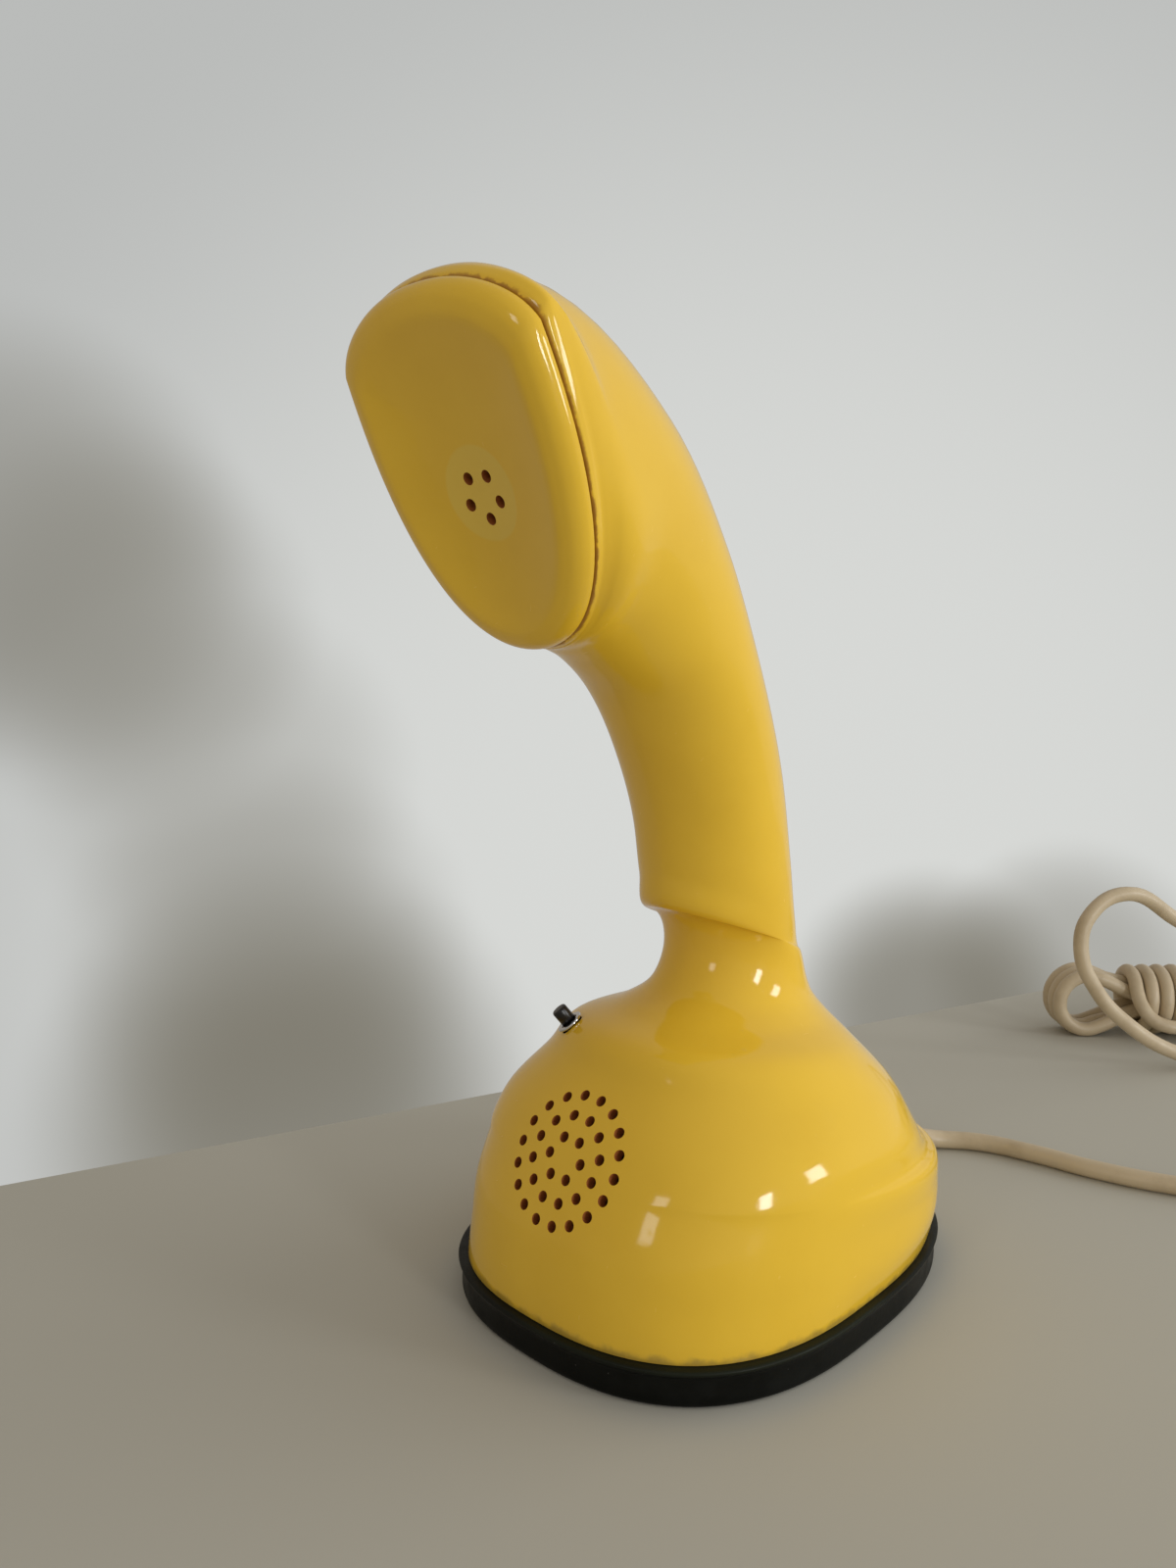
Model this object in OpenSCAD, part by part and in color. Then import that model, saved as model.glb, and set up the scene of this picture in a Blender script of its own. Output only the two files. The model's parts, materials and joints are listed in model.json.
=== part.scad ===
// One-piece upright dial telephone. Millimetres, +Z up, z = 0 on the table, the ear cap and the
// mouthpiece face -Y, X = 0 is the plane of symmetry. Heights run from the table.

/* [Housing] */
// full width of the base at its belly
base_w = 103; // [100:0.5:106]
// front of the belly, forward of the dial axis
base_front = 62; // [60:0.5:64]
// back of the belly, behind the dial axis
base_back = 62; // [60:0.5:65]
// height of the waist
waist_z = 85; // [83:0.5:88]
// width of the waist
waist_w = 37.2; // [34:0.2:40]
// width of the grip
grip_w = 38.8; // [36:0.2:42]
// depth of the step under the grip
step_in = 4.6; // [3:0.2:5]
// depth of the ledge round the back of the base
ledge_in = 2.6; // [1.5:0.1:3.5]
// height of the throat, where the ear cap begins
throat_z = 160.6; // [155:0.2:168]
// moulded wall
wall = 2.8; // [2.2:0.1:3.2]

/* [Ear cap] */
// length of the ear cap
cap_len = 76; // [72:0.5:80]
// width of the ear cap
cap_w = 58.6; // [54:0.2:62]
// lean of the ear cap over the table, degrees
cap_tilt = 24.4; // [20:0.2:28]
// how far the ear cap stands proud
cap_h = 4.6; // [3.5:0.1:6]
// depth of the dish in the ear cap
dish = 2.6; // [1:0.1:3]
// centre of the ear holes, up from the cap's low end
ear_at = 34.2; // [30:0.2:40]
// radius of the circle of ear holes
ear_ring = 4.8; // [4:0.1:6]
// ear hole radius
ear_hole_r = 1.35; // [1:0.05:1.8]

/* [Mouthpiece] */
// height of the grille's centre
grille_z = 43.8; // [42:0.2:46]
// slope of the grille's face back from upright, degrees
grille_lean = 30; // [28:0.5:32]
// spacing of the rings of holes
grille_pitch = 5; // [4:0.1:5.5]
// grille hole radius
grille_hole_r = 1.1; // [0.8:0.05:1.4]
// microphone capsule radius
mic_r = 18; // [15:0.5:19]
// microphone capsule thickness
mic_t = 10; // [8:0.5:12]

/* [Foot and base plate] */
// height of the rubber foot ring
foot_h = 9; // [8:0.5:11]
// width of the rubber foot ring's foot
foot_w = 7; // [6:0.5:8]
// base plate thickness
plate_t = 2.5; // [2:0.1:3]
// dial opening radius in the base plate
plate_hole_r = 30; // [28:0.5:32]
// base screw thread radius
screw_r = 1.5; // [1.2:0.1:2]

/* [Dial] */
// gap between the dial and the foot ring at the sides
dial_gap = 2.5; // [2:0.1:4]
// finger wheel thickness
wheel_t = 2.8; // [2.2:0.1:3.2]
// gap from the table to the finger wheel
wheel_z = 1.2; // [1.1:0.1:1.6]
// circle of finger holes, in from the wheel's edge
finger_edge = 9; // [8.5:0.25:10]
// web between two finger holes
finger_web = 1.55; // [1.2:0.05:2.4]
// line button radius
button_r = 12; // [10:0.25:13]
// travel of the line button
button_travel = 4.5; // [3.5:0.1:5]
// outside radius of the hollow dial shaft
shaft_r = 5; // [4.5:0.1:5.5]
// line button rod radius
rod_r = 2.9; // [2.4:0.1:3.2]
// gear module
gear_m = 0.8; // [0.75:0.01:0.85]
// teeth on the drive gear
drive_teeth = 54; // [50:1:58]
// teeth on the governor pinion
pinion_teeth = 12; // [11:1:14]
// radius of the governor cup, outside
cup_r = 11; // [10:0.5:12]

/* [Push button and cord] */
// radius of the push cap
push_r = 2.6; // [2.2:0.1:3]
// travel of the push cap
push_travel = 1.5; // [1:0.1:2]
// cord diameter
cord_d = 5.5; // [5:0.1:6]

/* [Hidden] */
sides = 48;
run_gap = 0.3;                        // clearance of moving and seated faces
fit_gap = 0.06;                       // running clearance of shafts in bushes
dial_y = 2;                           // the dial's axis
back_y = dial_y + base_back;
front_y = dial_y - base_front;
grip_z = throat_z - waist_z - 75.6;   // how much longer the grip is than its pattern
cap_low = [-56.4, throat_z];
cap_dir = [-sin(cap_tilt), cos(cap_tilt)];
cap_out = [-cos(cap_tilt), -sin(cap_tilt)];
cap_high = cap_low + cap_len * cap_dir;
frame_y = 12.95;                       // puts the origin under the middle of the outline
rim_in_by = 1.5;                       // the rim stands this far inside the belly
dial_rim = 3;                          // width of the dial's fixed rim
wheel_r = base_w / 2 - rim_in_by - foot_w - dial_gap - dial_rim;
finger_ring = wheel_r - finger_edge;
finger_r = finger_ring * sin(15) - finger_web / 2;

// The housing is a loft. Each station is one flat section:
// [front y, front z, back y, back z, half width, place of full width, front power, back power, taper]
stations = [
  [front_y,        foot_h,      back_y - 0.8,   foot_h,      base_w/2 - rim_in_by, .47, 2.43, 2.63, -.05], // rim
  [front_y,        foot_h + 9,  back_y - 0.2,   foot_h + 8,  base_w/2 - 0.1, .50, 2.6,  2.5,   0  ], // belly
  [front_y + 2.5,  29,          back_y + 0.3,   23,          base_w/2,       .50, 2.7,  2.4,   0  ], // band
  [front_y + 7.8,  40,          back_y - 0.4,   29.5,        base_w/2 - 0.1, .50, 2.6,  2.3,   0  ], // ledge, low side
  [front_y + 8.7,  41.5,        back_y - 0.4 - ledge_in, 30.8, base_w/2 - 0.7, .50, 2.6, 2.3, -.02], // ledge, high side
  [front_y + 13.5, 48.5,        back_y - 8,     37,          base_w/2 - 2.2, .50, 2.4,  2.2,  -.02], // side
  [front_y + 21.3, 59.5,        back_y - 15,    49,          base_w/2 - 8.5, .50, 2.3,  2.1,   0  ], // upper side
  [-33.3,          67.5,        back_y - 24,    59.5,        36.0,           .50, 2.1,  2.0,   0  ], // shoulder
  [-21.5,          waist_z - 13.8, back_y - 28.5, waist_z - 19.5, waist_w/2 + 6.2, .50, 2, 2,  0  ], // collar
  [-12.0,          waist_z - 9, 32.3,           waist_z - 15.4, waist_w/2 + 1.4, .50, 2, 2,    0  ], // neck root
  [-7.3,           waist_z,     29.5,           waist_z - 12, waist_w/2,     .50, 2.0,  2.0,   0  ], // waist
  [-11.0,          waist_z + 10.2, 27.5,        waist_z - 8, waist_w/2,      .50, 2.0,  2.0,   0  ], // step, low side
  [-11.0 - step_in, waist_z + 11.8, 27.3,       waist_z - 7, waist_w/2 + .2, .50, 2.0,  2.0,   0  ], // step, high side
  [-17.0,          waist_z + 21, 24.5,          waist_z + 2, grip_w/2 - .2,  .50, 2.0,  2.0,   0  ], // low grip
  [-19.2,          waist_z + 35 + .4*grip_z, 21.2, waist_z + 20 + .4*grip_z, grip_w/2, .50, 2, 2, 0], // grip
  [-25.8,          throat_z - 23.6, 16.0,       throat_z - 29.6, grip_w/2 + .6, .50, 2.05, 2,  0  ], // high grip
  [-33.5,          throat_z - 11.4, 5.0,        throat_z + 2.4,  21.7,       .50, 2.05, 2.0,   0  ], // throat
  [-42.5,          throat_z - 4.8, -8.5,        throat_z + 27.7, 22.5,       .50, 2.05, 2.05,  0  ], // crown
  [-50.0,          throat_z - 1.4, -31.5,       throat_z + 52.8, 25.4,       .52, 2.05, 2.1,  -.02], // nape
  [-54.0,          throat_z - .5, -66.0,        throat_z + 73.3, 29.4,       .66, 2.05, 2.15, -.10], // brow
  [-55.2, throat_z - .4, each (cap_high - 3 * cap_out + 2.4 * cap_dir), cap_w/2 + 2, .82, 2.07, 2.2, -.18],
  [each cap_low, each cap_high, cap_w/2, .84, 2.07, 2.2, -.20]];                                    // cap seam
last = len(stations) - 1;

function step_of(i) = (norm([stations[i+1][0] - stations[i][0], stations[i+1][1] - stations[i][1]])
  + norm([stations[i+1][2] - stations[i][2], stations[i+1][3] - stations[i][3]])) / 2;
function rise(i) = (stations[i+1] - stations[i]) / step_of(i);
function lean(i) = i == 0 ? rise(0) : i == last ? rise(last - 1)
  : (step_of(i) * rise(i-1) + step_of(i-1) * rise(i)) / (step_of(i-1) + step_of(i));
function between(i, f) = f == 0 ? stations[i] :
  (2*f*f*f - 3*f*f + 1) * stations[i] + (f*f*f - 2*f*f + f) * step_of(i) * lean(i)
  + (3*f*f - 2*f*f*f) * stations[i+1] + (f*f*f - f*f) * step_of(i) * lean(i+1);
function at(p) = p >= last ? stations[last] : between(floor(p), p - floor(p));
function sgnpow(c, n) = sign(c) * pow(abs(c), 2 / n);
function spot(s, t) = let (c = cos(t), n = c > 0 ? s[6] : s[7], u = -sgnpow(c, n),
  v = sgnpow(sin(t), n) * (1 + s[8] * u), a = u < 0 ? s[5] * (1 + u) : s[5] + u * (1 - s[5]))
  [v * s[4], s[0] + a * (s[2] - s[0]), s[1] + a * (s[3] - s[1])];
function ring(s) = [for (k = [0 : sides-1]) spot(s, 360 * k / sides)];
// the same section drawn in all round by w
function slid(s, w) = let (d = [s[2]-s[0], s[3]-s[1]], e = w * d / norm(d))
  [s[0]+e[0], s[1]+e[1], s[2]-e[0], s[3]-e[1], s[4]-w, s[5], s[6], s[7], s[8]];
function outward(p, t) = let (a = spot(at(min(p + .02, last)), t) - spot(at(max(p - .02, 0)), t),
  b = spot(at(p), t + 1) - spot(at(p), t - 1), n = cross(b, a)) n / norm(n);
function inner_ring(p, w) = [for (k = [0 : sides-1]) let (t = 360 * k / sides) spot(at(p), t) - w * outward(p, t)];
function level(r, z) = [for (q = r) [q[0], q[1], z]];
function flat(r) = [for (q = r) [q[0], q[1]]];
function lifted(r, h) = [for (q = r) q + h * [0, cap_out[0], cap_out[1]]];

outer_p = [0, .5, 1, 1.5, 2, 2.5, 3, 3.5, 4, 4.5, 5, 5.5, 6, 6.5, 7, 7.35, 7.7, 8, 8.5, 9, 9.5, 10, 10.5, 11,
  11.5, 12, 12.5, 13, 14, 15, 15.5, 16, 16.5, 17, 17.33, 17.67, 18, 18.25, 18.5, 18.75, 19, 19.25, 19.5,
  19.75, 20, 20.4, 20.75, 21];
inner_p = [21, 20, 19.4, 19, 18.6, 18.2, 17.7, 17.1, 16.5, 16, 15, 14, 13, 10, 9, 8.4, 7.8, 7.2, 6.5, 5.8, 5, 3.2, 1.5, 0];

module place() translate([0, frame_y, 0]) children();
// a closed skin through rings that come back to their start
module skin(rings) {
  n = len(rings);
  m = len(rings[0]);
  polyhedron([for (r = rings) for (q = r) q], [for (k = [0 : n-1]) for (j = [0 : m-1])
    let (k2 = (k+1) % n, j2 = (j+1) % m) each [[k*m+j, k2*m+j2, k*m+j2], [k*m+j, k2*m+j, k2*m+j2]]], convexity = 8);
}
// a closed solid through rings with a flat end at each end
module loft(rings) {
  n = len(rings);
  m = len(rings[0]);
  polyhedron([for (r = rings) for (q = r) q], concat([[for (j = [0 : m-1]) j]], [[for (j = [0 : m-1]) n*m-1-j]],
    [for (k = [0 : n-2]) for (j = [0 : m-1]) let (j2 = (j+1) % m) each
      [[k*m+j, (k+1)*m+j2, k*m+j2], [k*m+j, (k+1)*m+j, (k+1)*m+j2]]]), convexity = 8);
}
module tube(r1, r2, h) difference() {
  cylinder(r = r1, h = h, $fn = 48);
  translate([0, 0, -1]) cylinder(r = r2, h = h + 2, $fn = 48);
}
module turned(outline) rotate_extrude($fn = 96) polygon(outline);
module disc(r, h) cylinder(r = r, h = h, $fn = 48);

// local frames: z points out of the face
grille_y = lookup(grille_z, [for (s = stations) [s[1], s[0]]]);
module on_grille() translate([0, grille_y, grille_z]) rotate([90 - grille_lean, 0, 0]) children();
module on_cap(d) translate([0, cap_low[0] + d * cap_dir[0], cap_low[1] + d * cap_dir[1]])
  rotate([90 + cap_tilt, 0, 0]) children();
push_p = 6.9;                         // place of the push button on the loft: station and angle
push_t = -34;
push_n = outward(push_p, push_t);
module on_push() translate(spot(at(push_p), push_t)) rotate([0, acos(push_n[2]), atan2(push_n[1], push_n[0])]) children();
module on_dial() translate([0, dial_y, 0]) children();

// ---- housing
boss_x = base_w / 2 - 17.8;
boss = [[-boss_x, front_y + 32.5], [boss_x, front_y + 32.5], [-boss_x, back_y - 32.5], [boss_x, back_y - 32.5]];
boss_r = 3.6;
plate_z = foot_h + plate_t;
push_stem_r = 1.6;
push_thread_r = 3;
grommet_r = cord_d / 2 + 1.8;
cord_z = plate_z + grommet_r + .95;   // height of the cord's exit
module grille_holes() on_grille() for (g = [1, 2, 3]) for (k = [0 : 6*g - 1])
  rotate(60 * (k + .5) / g) translate([0, g * grille_pitch, -9]) cylinder(r = grille_hole_r, h = 18, $fn = 24);
module housing_shell() color([0.9, 0.68, 0.15]) place() difference() {
  union() {
    skin(concat([for (p = outer_p) ring(at(p))],
      [for (p = inner_p) p == 0 || p == last ? ring(slid(at(p), wall)) : inner_ring(p, wall)]));
    for (b = boss) translate([b[0], b[1], plate_z]) disc(boss_r, (b[1] < 0 ? 51.5 : 47.5) - plate_z);
  }
  grille_holes();
  for (b = boss) translate([b[0], b[1], plate_z - 1]) disc(screw_r, 11);
  on_push() translate([0, 0, -12]) disc(push_thread_r + .1, 24);
  translate([0, back_y - 12, cord_z]) rotate([-90, 0, 0]) disc(grommet_r + .1, 24);
}
seam = stations[last];
spigot = wall + run_gap;              // the cap's skirt sits inside the shell's mouth
module ear_cap() color([0.92, 0.7, 0.18]) place() {
  difference() {
    loft([lifted(ring(slid(seam, spigot)), -5), lifted(ring(slid(seam, spigot)), 0.05),
      lifted(ring(slid(seam, 1.1)), 0.05), lifted(ring(slid(seam, 0.2)), 1.2),
      lifted(ring(slid(seam, 0.3)), cap_h - 2.2), lifted(ring(slid(seam, 1.0)), cap_h - .9),
      lifted(ring(slid(seam, 2.6)), cap_h), lifted(ring(slid(seam, 4.2)), cap_h),
      lifted(ring(slid(seam, 8)), cap_h - dish * .5), lifted(ring(slid(seam, 14)), cap_h - dish)]);
    loft([lifted(ring(slid(seam, spigot + 2)), -6), lifted(ring(slid(seam, spigot + 2)), rec_front)]);
    on_cap(ear_at) for (k = [0 : 4]) rotate(180 + 72 * k) translate([0, ear_ring, -9])
      cylinder(r = ear_hole_r, h = 18, $fn = 24);
  }
  on_cap(ear_at) for (s = [-1, 1]) translate([0, s * post_d, clip_z + 1.2]) tube(2.6, 1.1, rec_front - clip_z - .7);
}
module foot_ring() color([0.07, 0.07, 0.07]) place() skin([
  level(ring(slid(stations[0], 0.2)), 0), level(ring(slid(stations[0], -0.8)), 0.9),
  level(ring(slid(stations[0], -1.1)), 3), level(ring(slid(stations[0], -1.1)), foot_h - 1.6),
  level(ring(slid(stations[0], -0.5)), foot_h), level(ring(slid(stations[0], foot_w - .4)), foot_h),
  level(ring(slid(stations[0], foot_w)), foot_h - .6), level(ring(slid(stations[0], foot_w)), 0)]);

// ---- base plate, boards and screws
board_x = base_w / 2 - 22.5;
board_y = back_y - 22;
board_edge = 4;
board_nose = 8.5;
board_posts = [[-board_x, board_y], [board_x, board_y], [0, board_y + board_nose - board_edge]];
board_z = plate_z + 4.5;
board_t = 1.6;
module base_plate() color([0.16, 0.16, 0.17]) place() {
  difference() {
    translate([0, 0, foot_h]) linear_extrude(plate_t) polygon(flat(ring(slid(stations[0], spigot))));
    on_dial() translate([0, 0, foot_h - 1]) disc(plate_hole_r, plate_t + 2);
    for (b = boss) translate([b[0], b[1], foot_h - 1]) disc(screw_r + .15, plate_t + 2);
    on_dial() for (a = frame_bolts) rotate(a) translate([frame_r - 3, 0, foot_h - 1]) disc(1.2, plate_t + 2);
    for (p = board_posts) translate([p[0], p[1], foot_h - 1]) disc(1, plate_t + 2);
    translate([0, clamp_y, foot_h - 1]) disc(1, plate_t + 2);
  }
  for (p = board_posts) translate([p[0], p[1], plate_z]) tube(2.6, 1, board_z - plate_z);
}
module screw(r, h, head_r, head_h) {
  disc(r, h);
  translate([0, 0, -head_h]) disc(head_r, head_h);
}
module base_screws() color([0.7, 0.7, 0.7]) place() for (b = boss) translate([b[0], b[1], foot_h])
  screw(screw_r, plate_t + 7, screw_r + 1.4, 1.6);
module terminal_board() color([0.5, 0.3, 0.12]) place() difference() {
  translate([0, 0, board_z]) linear_extrude(board_t)
    polygon([[-board_x - board_edge, board_y - board_edge], [board_x + board_edge, board_y - board_edge],
      [board_x + board_edge, board_y + board_edge + 1], [board_x - 9, board_y + board_nose],
      [9 - board_x, board_y + board_nose], [-board_x - board_edge, board_y + board_edge + 1]]);
  for (p = board_posts) translate([p[0], p[1], board_z - 1]) disc(1.1, board_t + 2);
}
module board_screws() color([0.75, 0.7, 0.5]) place() for (p = board_posts)
  translate([p[0], p[1], board_z + board_t]) rotate([180, 0, 0]) screw(1, 5.5, 2.1, 1.3);
board_top = board_z + board_t;
module induction_coil() color([0.55, 0.25, 0.1]) place() translate([-board_x / 2, board_y + 2, board_top]) {
  translate([-9, -5.5, 0]) cube([18, 11, 3]);
  translate([-6.5, -4.5, 3]) cube([13, 9, 10]);
  translate([-9, -5.5, 13]) cube([18, 11, 3]);
}
module capacitor() color([0.75, 0.76, 0.78]) place() translate([board_x / 2 - 10.5, board_y + 2, board_top + 5.4])
  rotate([0, 90, 0]) disc(5.4, 19);

// ---- dial
frame_edge = 14.4;                     // from the drive gear to the frame's edge
frame_r = gear_m * drive_teeth / 2 + frame_edge;
frame_t = 2;
frame_z = plate_z;
frame_bolts = [75, 195, 315];
ring_top = foot_h;
ring_floor = wheel_z + wheel_t + 1.4;
cup_in = button_r + run_gap;
floor_z = foot_h - .3;
floor_t = 1.8;
rim_in = wheel_r + .7;
rim_out = wheel_r + dial_rim;
gear_z = frame_z + frame_t + 2.5;
gear_t = 2;
shaft_top = 25.6;
rod_top = 44;
bridge_z = 40;
bridge_t = 2;
gear_gap = gear_m * (drive_teeth + pinion_teeth) / 2 + .12;
stop_angle = -60;
digit_angle = [for (k = [0 : 9]) stop_angle - 60 - 30 * k];
module dial_ring() color([0.93, 0.91, 0.84]) place() on_dial() turned([[cup_in + 3, ring_floor],
  [rim_in, ring_floor], [rim_in, wheel_z - run_gap], [rim_out, wheel_z - run_gap], [rim_out, ring_top],
  [rim_out - 8, ring_top], [rim_out - 8, ring_floor + 2], [cup_in + 3, ring_floor + 2]]);
module finger_wheel() color([0.92, 0.7, 0.18]) place() on_dial() difference() {
  turned([[cup_in, wheel_z + .5], [cup_in + .5, wheel_z], [wheel_r - .6, wheel_z], [wheel_r, wheel_z + .6],
    [wheel_r, wheel_z + wheel_t], [cup_in + 2, wheel_z + wheel_t], [cup_in + 2, floor_z + floor_t],
    [shaft_r, floor_z + floor_t], [shaft_r, floor_z], [cup_in, floor_z]]);
  for (a = digit_angle) rotate(a) translate([finger_ring, 0, wheel_z - 1]) disc(finger_r, wheel_t + 2);
}
module finger_stop() color([0.8, 0.8, 0.82]) place() on_dial() rotate(stop_angle) difference() {
  translate([wheel_r - 9, -2.2, wheel_z - run_gap - .6]) cube([rim_out - wheel_r + 8.6, 4.4, .6]);
  translate([wheel_r - 9, -4.2, wheel_z - 2]) rotate(28) cube([8, 2.4, 4]);
}
module dial_shaft() color([0.8, 0.75, 0.5]) place() on_dial() translate([0, 0, floor_z])
  tube(shaft_r, rod_r + .4, shaft_top - floor_z);
module dial_frame() color([0.72, 0.72, 0.74]) place() on_dial() difference() {
  union() {
    translate([0, 0, frame_z]) disc(frame_r, frame_t);
    for (p = pillars) translate([p[0], p[1], frame_z + frame_t]) disc(2, bridge_z - frame_z - frame_t);
    translate([14, 0, frame_z + frame_t]) disc(.9, 2.1);
  }
  translate([0, 0, frame_z - 1]) disc(shaft_r + fit_gap, frame_t + 2);
  translate([gear_gap, 0, frame_z - 1]) disc(pinion_shaft_r + fit_gap, frame_t + 2);
  for (a = frame_bolts) rotate(a) translate([frame_r - 3, 0, frame_z - 1]) disc(1.2, frame_t + 2);
}
pillars = [for (a = [180, -43.5, 43.5]) (frame_r - (a == 180 ? 10 : 8.4)) * [cos(a), sin(a)]];
pinion_shaft_r = 1.2;
module dial_bridge() color([0.72, 0.72, 0.74]) place() on_dial() translate([0, 0, bridge_z]) difference() {
  linear_extrude(bridge_t) hull() {
    for (p = pillars) translate(p) circle(r = 3.6, $fn = 32);
    translate([gear_gap, 0]) circle(r = cup_r + .4, $fn = 48);
  }
  translate([0, 0, -1]) disc(rod_r + .4, bridge_t + 2);
  translate([gear_gap, 0, -1]) disc(pinion_shaft_r + fit_gap, bridge_t + 2);
  for (p = pillars) translate([p[0], p[1], -1]) disc(.9, bridge_t + 2);
}
module dial_screws() color([0.75, 0.72, 0.6]) place() on_dial() {
  for (a = frame_bolts) rotate(a) translate([frame_r - 3, 0, frame_z + frame_t]) rotate([180, 0, 0])
    screw(1.2, frame_t + plate_t, 2.4, 1.4);
  for (p = pillars) translate([p[0], p[1], bridge_z + bridge_t]) rotate([180, 0, 0]) screw(.9, bridge_t, 2, 1.2);
}
// involute spur gear
function inv(b, a) = b * [cos(a) + a * PI / 180 * sin(a), sin(a) - a * PI / 180 * cos(a)];
module spur(teeth, add, slack) {
  rp = gear_m * teeth / 2;
  rb = rp * cos(20);
  ra = rp + add * gear_m;
  rr = rp - 1.15 * gear_m;
  top = sqrt(ra * ra / (rb * rb) - 1) * 180 / PI;
  at_pitch = sqrt(rp * rp / (rb * rb) - 1) * 180 / PI;
  turn = 90 / teeth - slack / rp * 90 / PI + atan2(inv(rb, at_pitch)[1], inv(rb, at_pitch)[0]);
  flank = [for (k = [0 : 3]) inv(rb, top * k / 3)];
  function spun(p, a) = [p[0] * cos(a) - p[1] * sin(a), p[0] * sin(a) + p[1] * cos(a)];
  root = [min(rr, rb - .01), 0];
  polygon([for (k = [0 : teeth - 1]) let (c = 360 * k / teeth) each concat(
    [spun(root, c - turn)], [for (q = flank) spun(q, c - turn)],
    [for (j = [3 : -1 : 0]) spun([flank[j][0], -flank[j][1]], c + turn)], [spun(root, c + turn)])]);
}
module drive_gear() color([0.8, 0.65, 0.3]) place() on_dial() difference() {
  union() {
    translate([0, 0, gear_z]) linear_extrude(gear_t) spur(drive_teeth, .7, .14);
    translate([0, 0, gear_z + gear_t]) disc(shaft_r + 2.5, 2);
  }
  translate([0, 0, gear_z - 1]) disc(shaft_r, gear_t + 4);
  for (a = [30 : 60 : 330]) rotate(a) translate([13.5, 0, gear_z - 1]) disc(3.4, gear_t + 2);
}
module impulse_cam() color([0.35, 0.25, 0.15]) place() on_dial() translate([0, 0, gear_z + gear_t + 2])
  difference() {
    linear_extrude(1.6) polygon([for (k = [0 : 59]) let (b = floor(k / 2) < 24 && k % 4 < 2 ? 14 : 12.4)
      b * [cos(6 * k), sin(6 * k)]]);
    translate([0, 0, -1]) disc(shaft_r, 4);
  }
module impulse_contacts() color([0.3, 0.2, 0.12]) place() on_dial() rotate(-140) {
  translate([24.6, -3, frame_z + frame_t]) cube([6, 6, 13]);
  translate([14.7, -.3, gear_z + gear_t + 2.2]) cube([9.9, .5, 1.2]);
  translate([16.2, 1.4, gear_z + gear_t + 2.2]) cube([8.4, .5, 1.2]);
}
module dial_return_spring() color([0.4, 0.42, 0.46]) place() on_dial() translate([0, 0, frame_z + frame_t + .2])
  linear_extrude(1.6) polygon(concat([for (k = [0 : 72]) (shaft_r + .6 + 7 * k / 72) * [cos(20 * k), sin(20 * k)]],
    [for (k = [72 : -1 : 0]) (shaft_r + 1 + 7 * k / 72) * [cos(20 * k), sin(20 * k)]]));
module governor_pinion() color([0.8, 0.65, 0.3]) place() on_dial() translate([gear_gap, 0, 0]) {
  translate([0, 0, gear_z - .3]) linear_extrude(gear_t + .6) rotate(pinion_teeth % 2 == 0 ? 180 / pinion_teeth : 0)
    spur(pinion_teeth, .9, .14);
  translate([0, 0, frame_z + .4]) disc(pinion_shaft_r, bridge_z + bridge_t - frame_z - .8);
}
module governor_weights() color([0.75, 0.6, 0.3]) place() on_dial() translate([gear_gap, 0, gear_z + 9]) difference() {
  union() {
    disc(2.6, 8);
    translate([-cup_r + 2.6, -1, 3]) cube([2 * cup_r - 5.2, 2, 1.2]);
    for (a = [0, 180]) rotate(a) translate([cup_r - 4.2, 0, 1]) disc(2.2, 6);
  }
  translate([0, 0, -1]) disc(pinion_shaft_r, 10);
}
module governor_cup() color([0.7, 0.7, 0.72]) place() on_dial() translate([gear_gap, 0, gear_z + 9])
  tube(cup_r, cup_r - 1.2, bridge_z - gear_z - 9);

// ---- line button in the middle of the dial
module hook_button() color([0.75, 0.1, 0.08]) place() on_dial() turned([[0, run_gap + .9], [button_r - 3, run_gap],
  [button_r - .8, run_gap], [button_r, run_gap + .8], [button_r, floor_z - .9], [0, floor_z - .9]]);
collar_z = shaft_top + button_travel + .3;
module hook_rod() color([0.85, 0.85, 0.8]) place() on_dial() {
  translate([0, 0, floor_z - .9]) disc(rod_r, rod_top - floor_z + .9);
  translate([0, 0, collar_z]) disc(shaft_r, 1.5);
}
module coil(r, wire, turns, z0, z1) {
  n = 14 * turns;
  loft([for (k = [0 : n]) let (a = 360 * k / 14, z = z0 + (z1 - z0) * k / n)
    [for (j = [0 : 5]) let (b = 60 * j) [(r + wire * cos(b)) * cos(a), (r + wire * cos(b)) * sin(a), z - wire * sin(b)]]]);
}
module hook_spring() color([0.6, 0.6, 0.62]) place() on_dial()
  coil(rod_r + 1, .3, 4, collar_z + 1.5 + .35, bridge_z - .35);
module hook_contacts() color([0.35, 0.2, 0.12]) place() on_dial() translate([0, 0, bridge_z + bridge_t]) {
  translate([-18, -4, 0]) cube([9, 8, 7]);
  for (k = [0 : 2]) translate([-9, -2, 2.5 + 1.6 * k]) cube([12 - 2 * k, 4, .4]);
}

// ---- microphone
mic_back = wall + 2.4;
module microphone_capsule() color([0.55, 0.56, 0.58]) place() on_grille() translate([0, 0, -mic_back - mic_t])
  turned([[0, 0], [mic_r - 4, 0], [mic_r - 3, mic_t * .45], [mic_r, mic_t * .45], [mic_r, mic_t - .5],
    [mic_r - 2, mic_t], [0, mic_t]]);
module microphone_clip() color([0.12, 0.12, 0.12]) place() difference() {
  union() {
    on_grille() translate([0, 0, -mic_back - mic_t]) disc(mic_r + 2.2, mic_t * .8);
    translate([-6, grille_y + 3, plate_z]) cube([12, 5, 16]);
  }
  on_grille() translate([0, 0, -mic_back - mic_t - 4]) disc(mic_r + .15, mic_t + 12);
}

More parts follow.
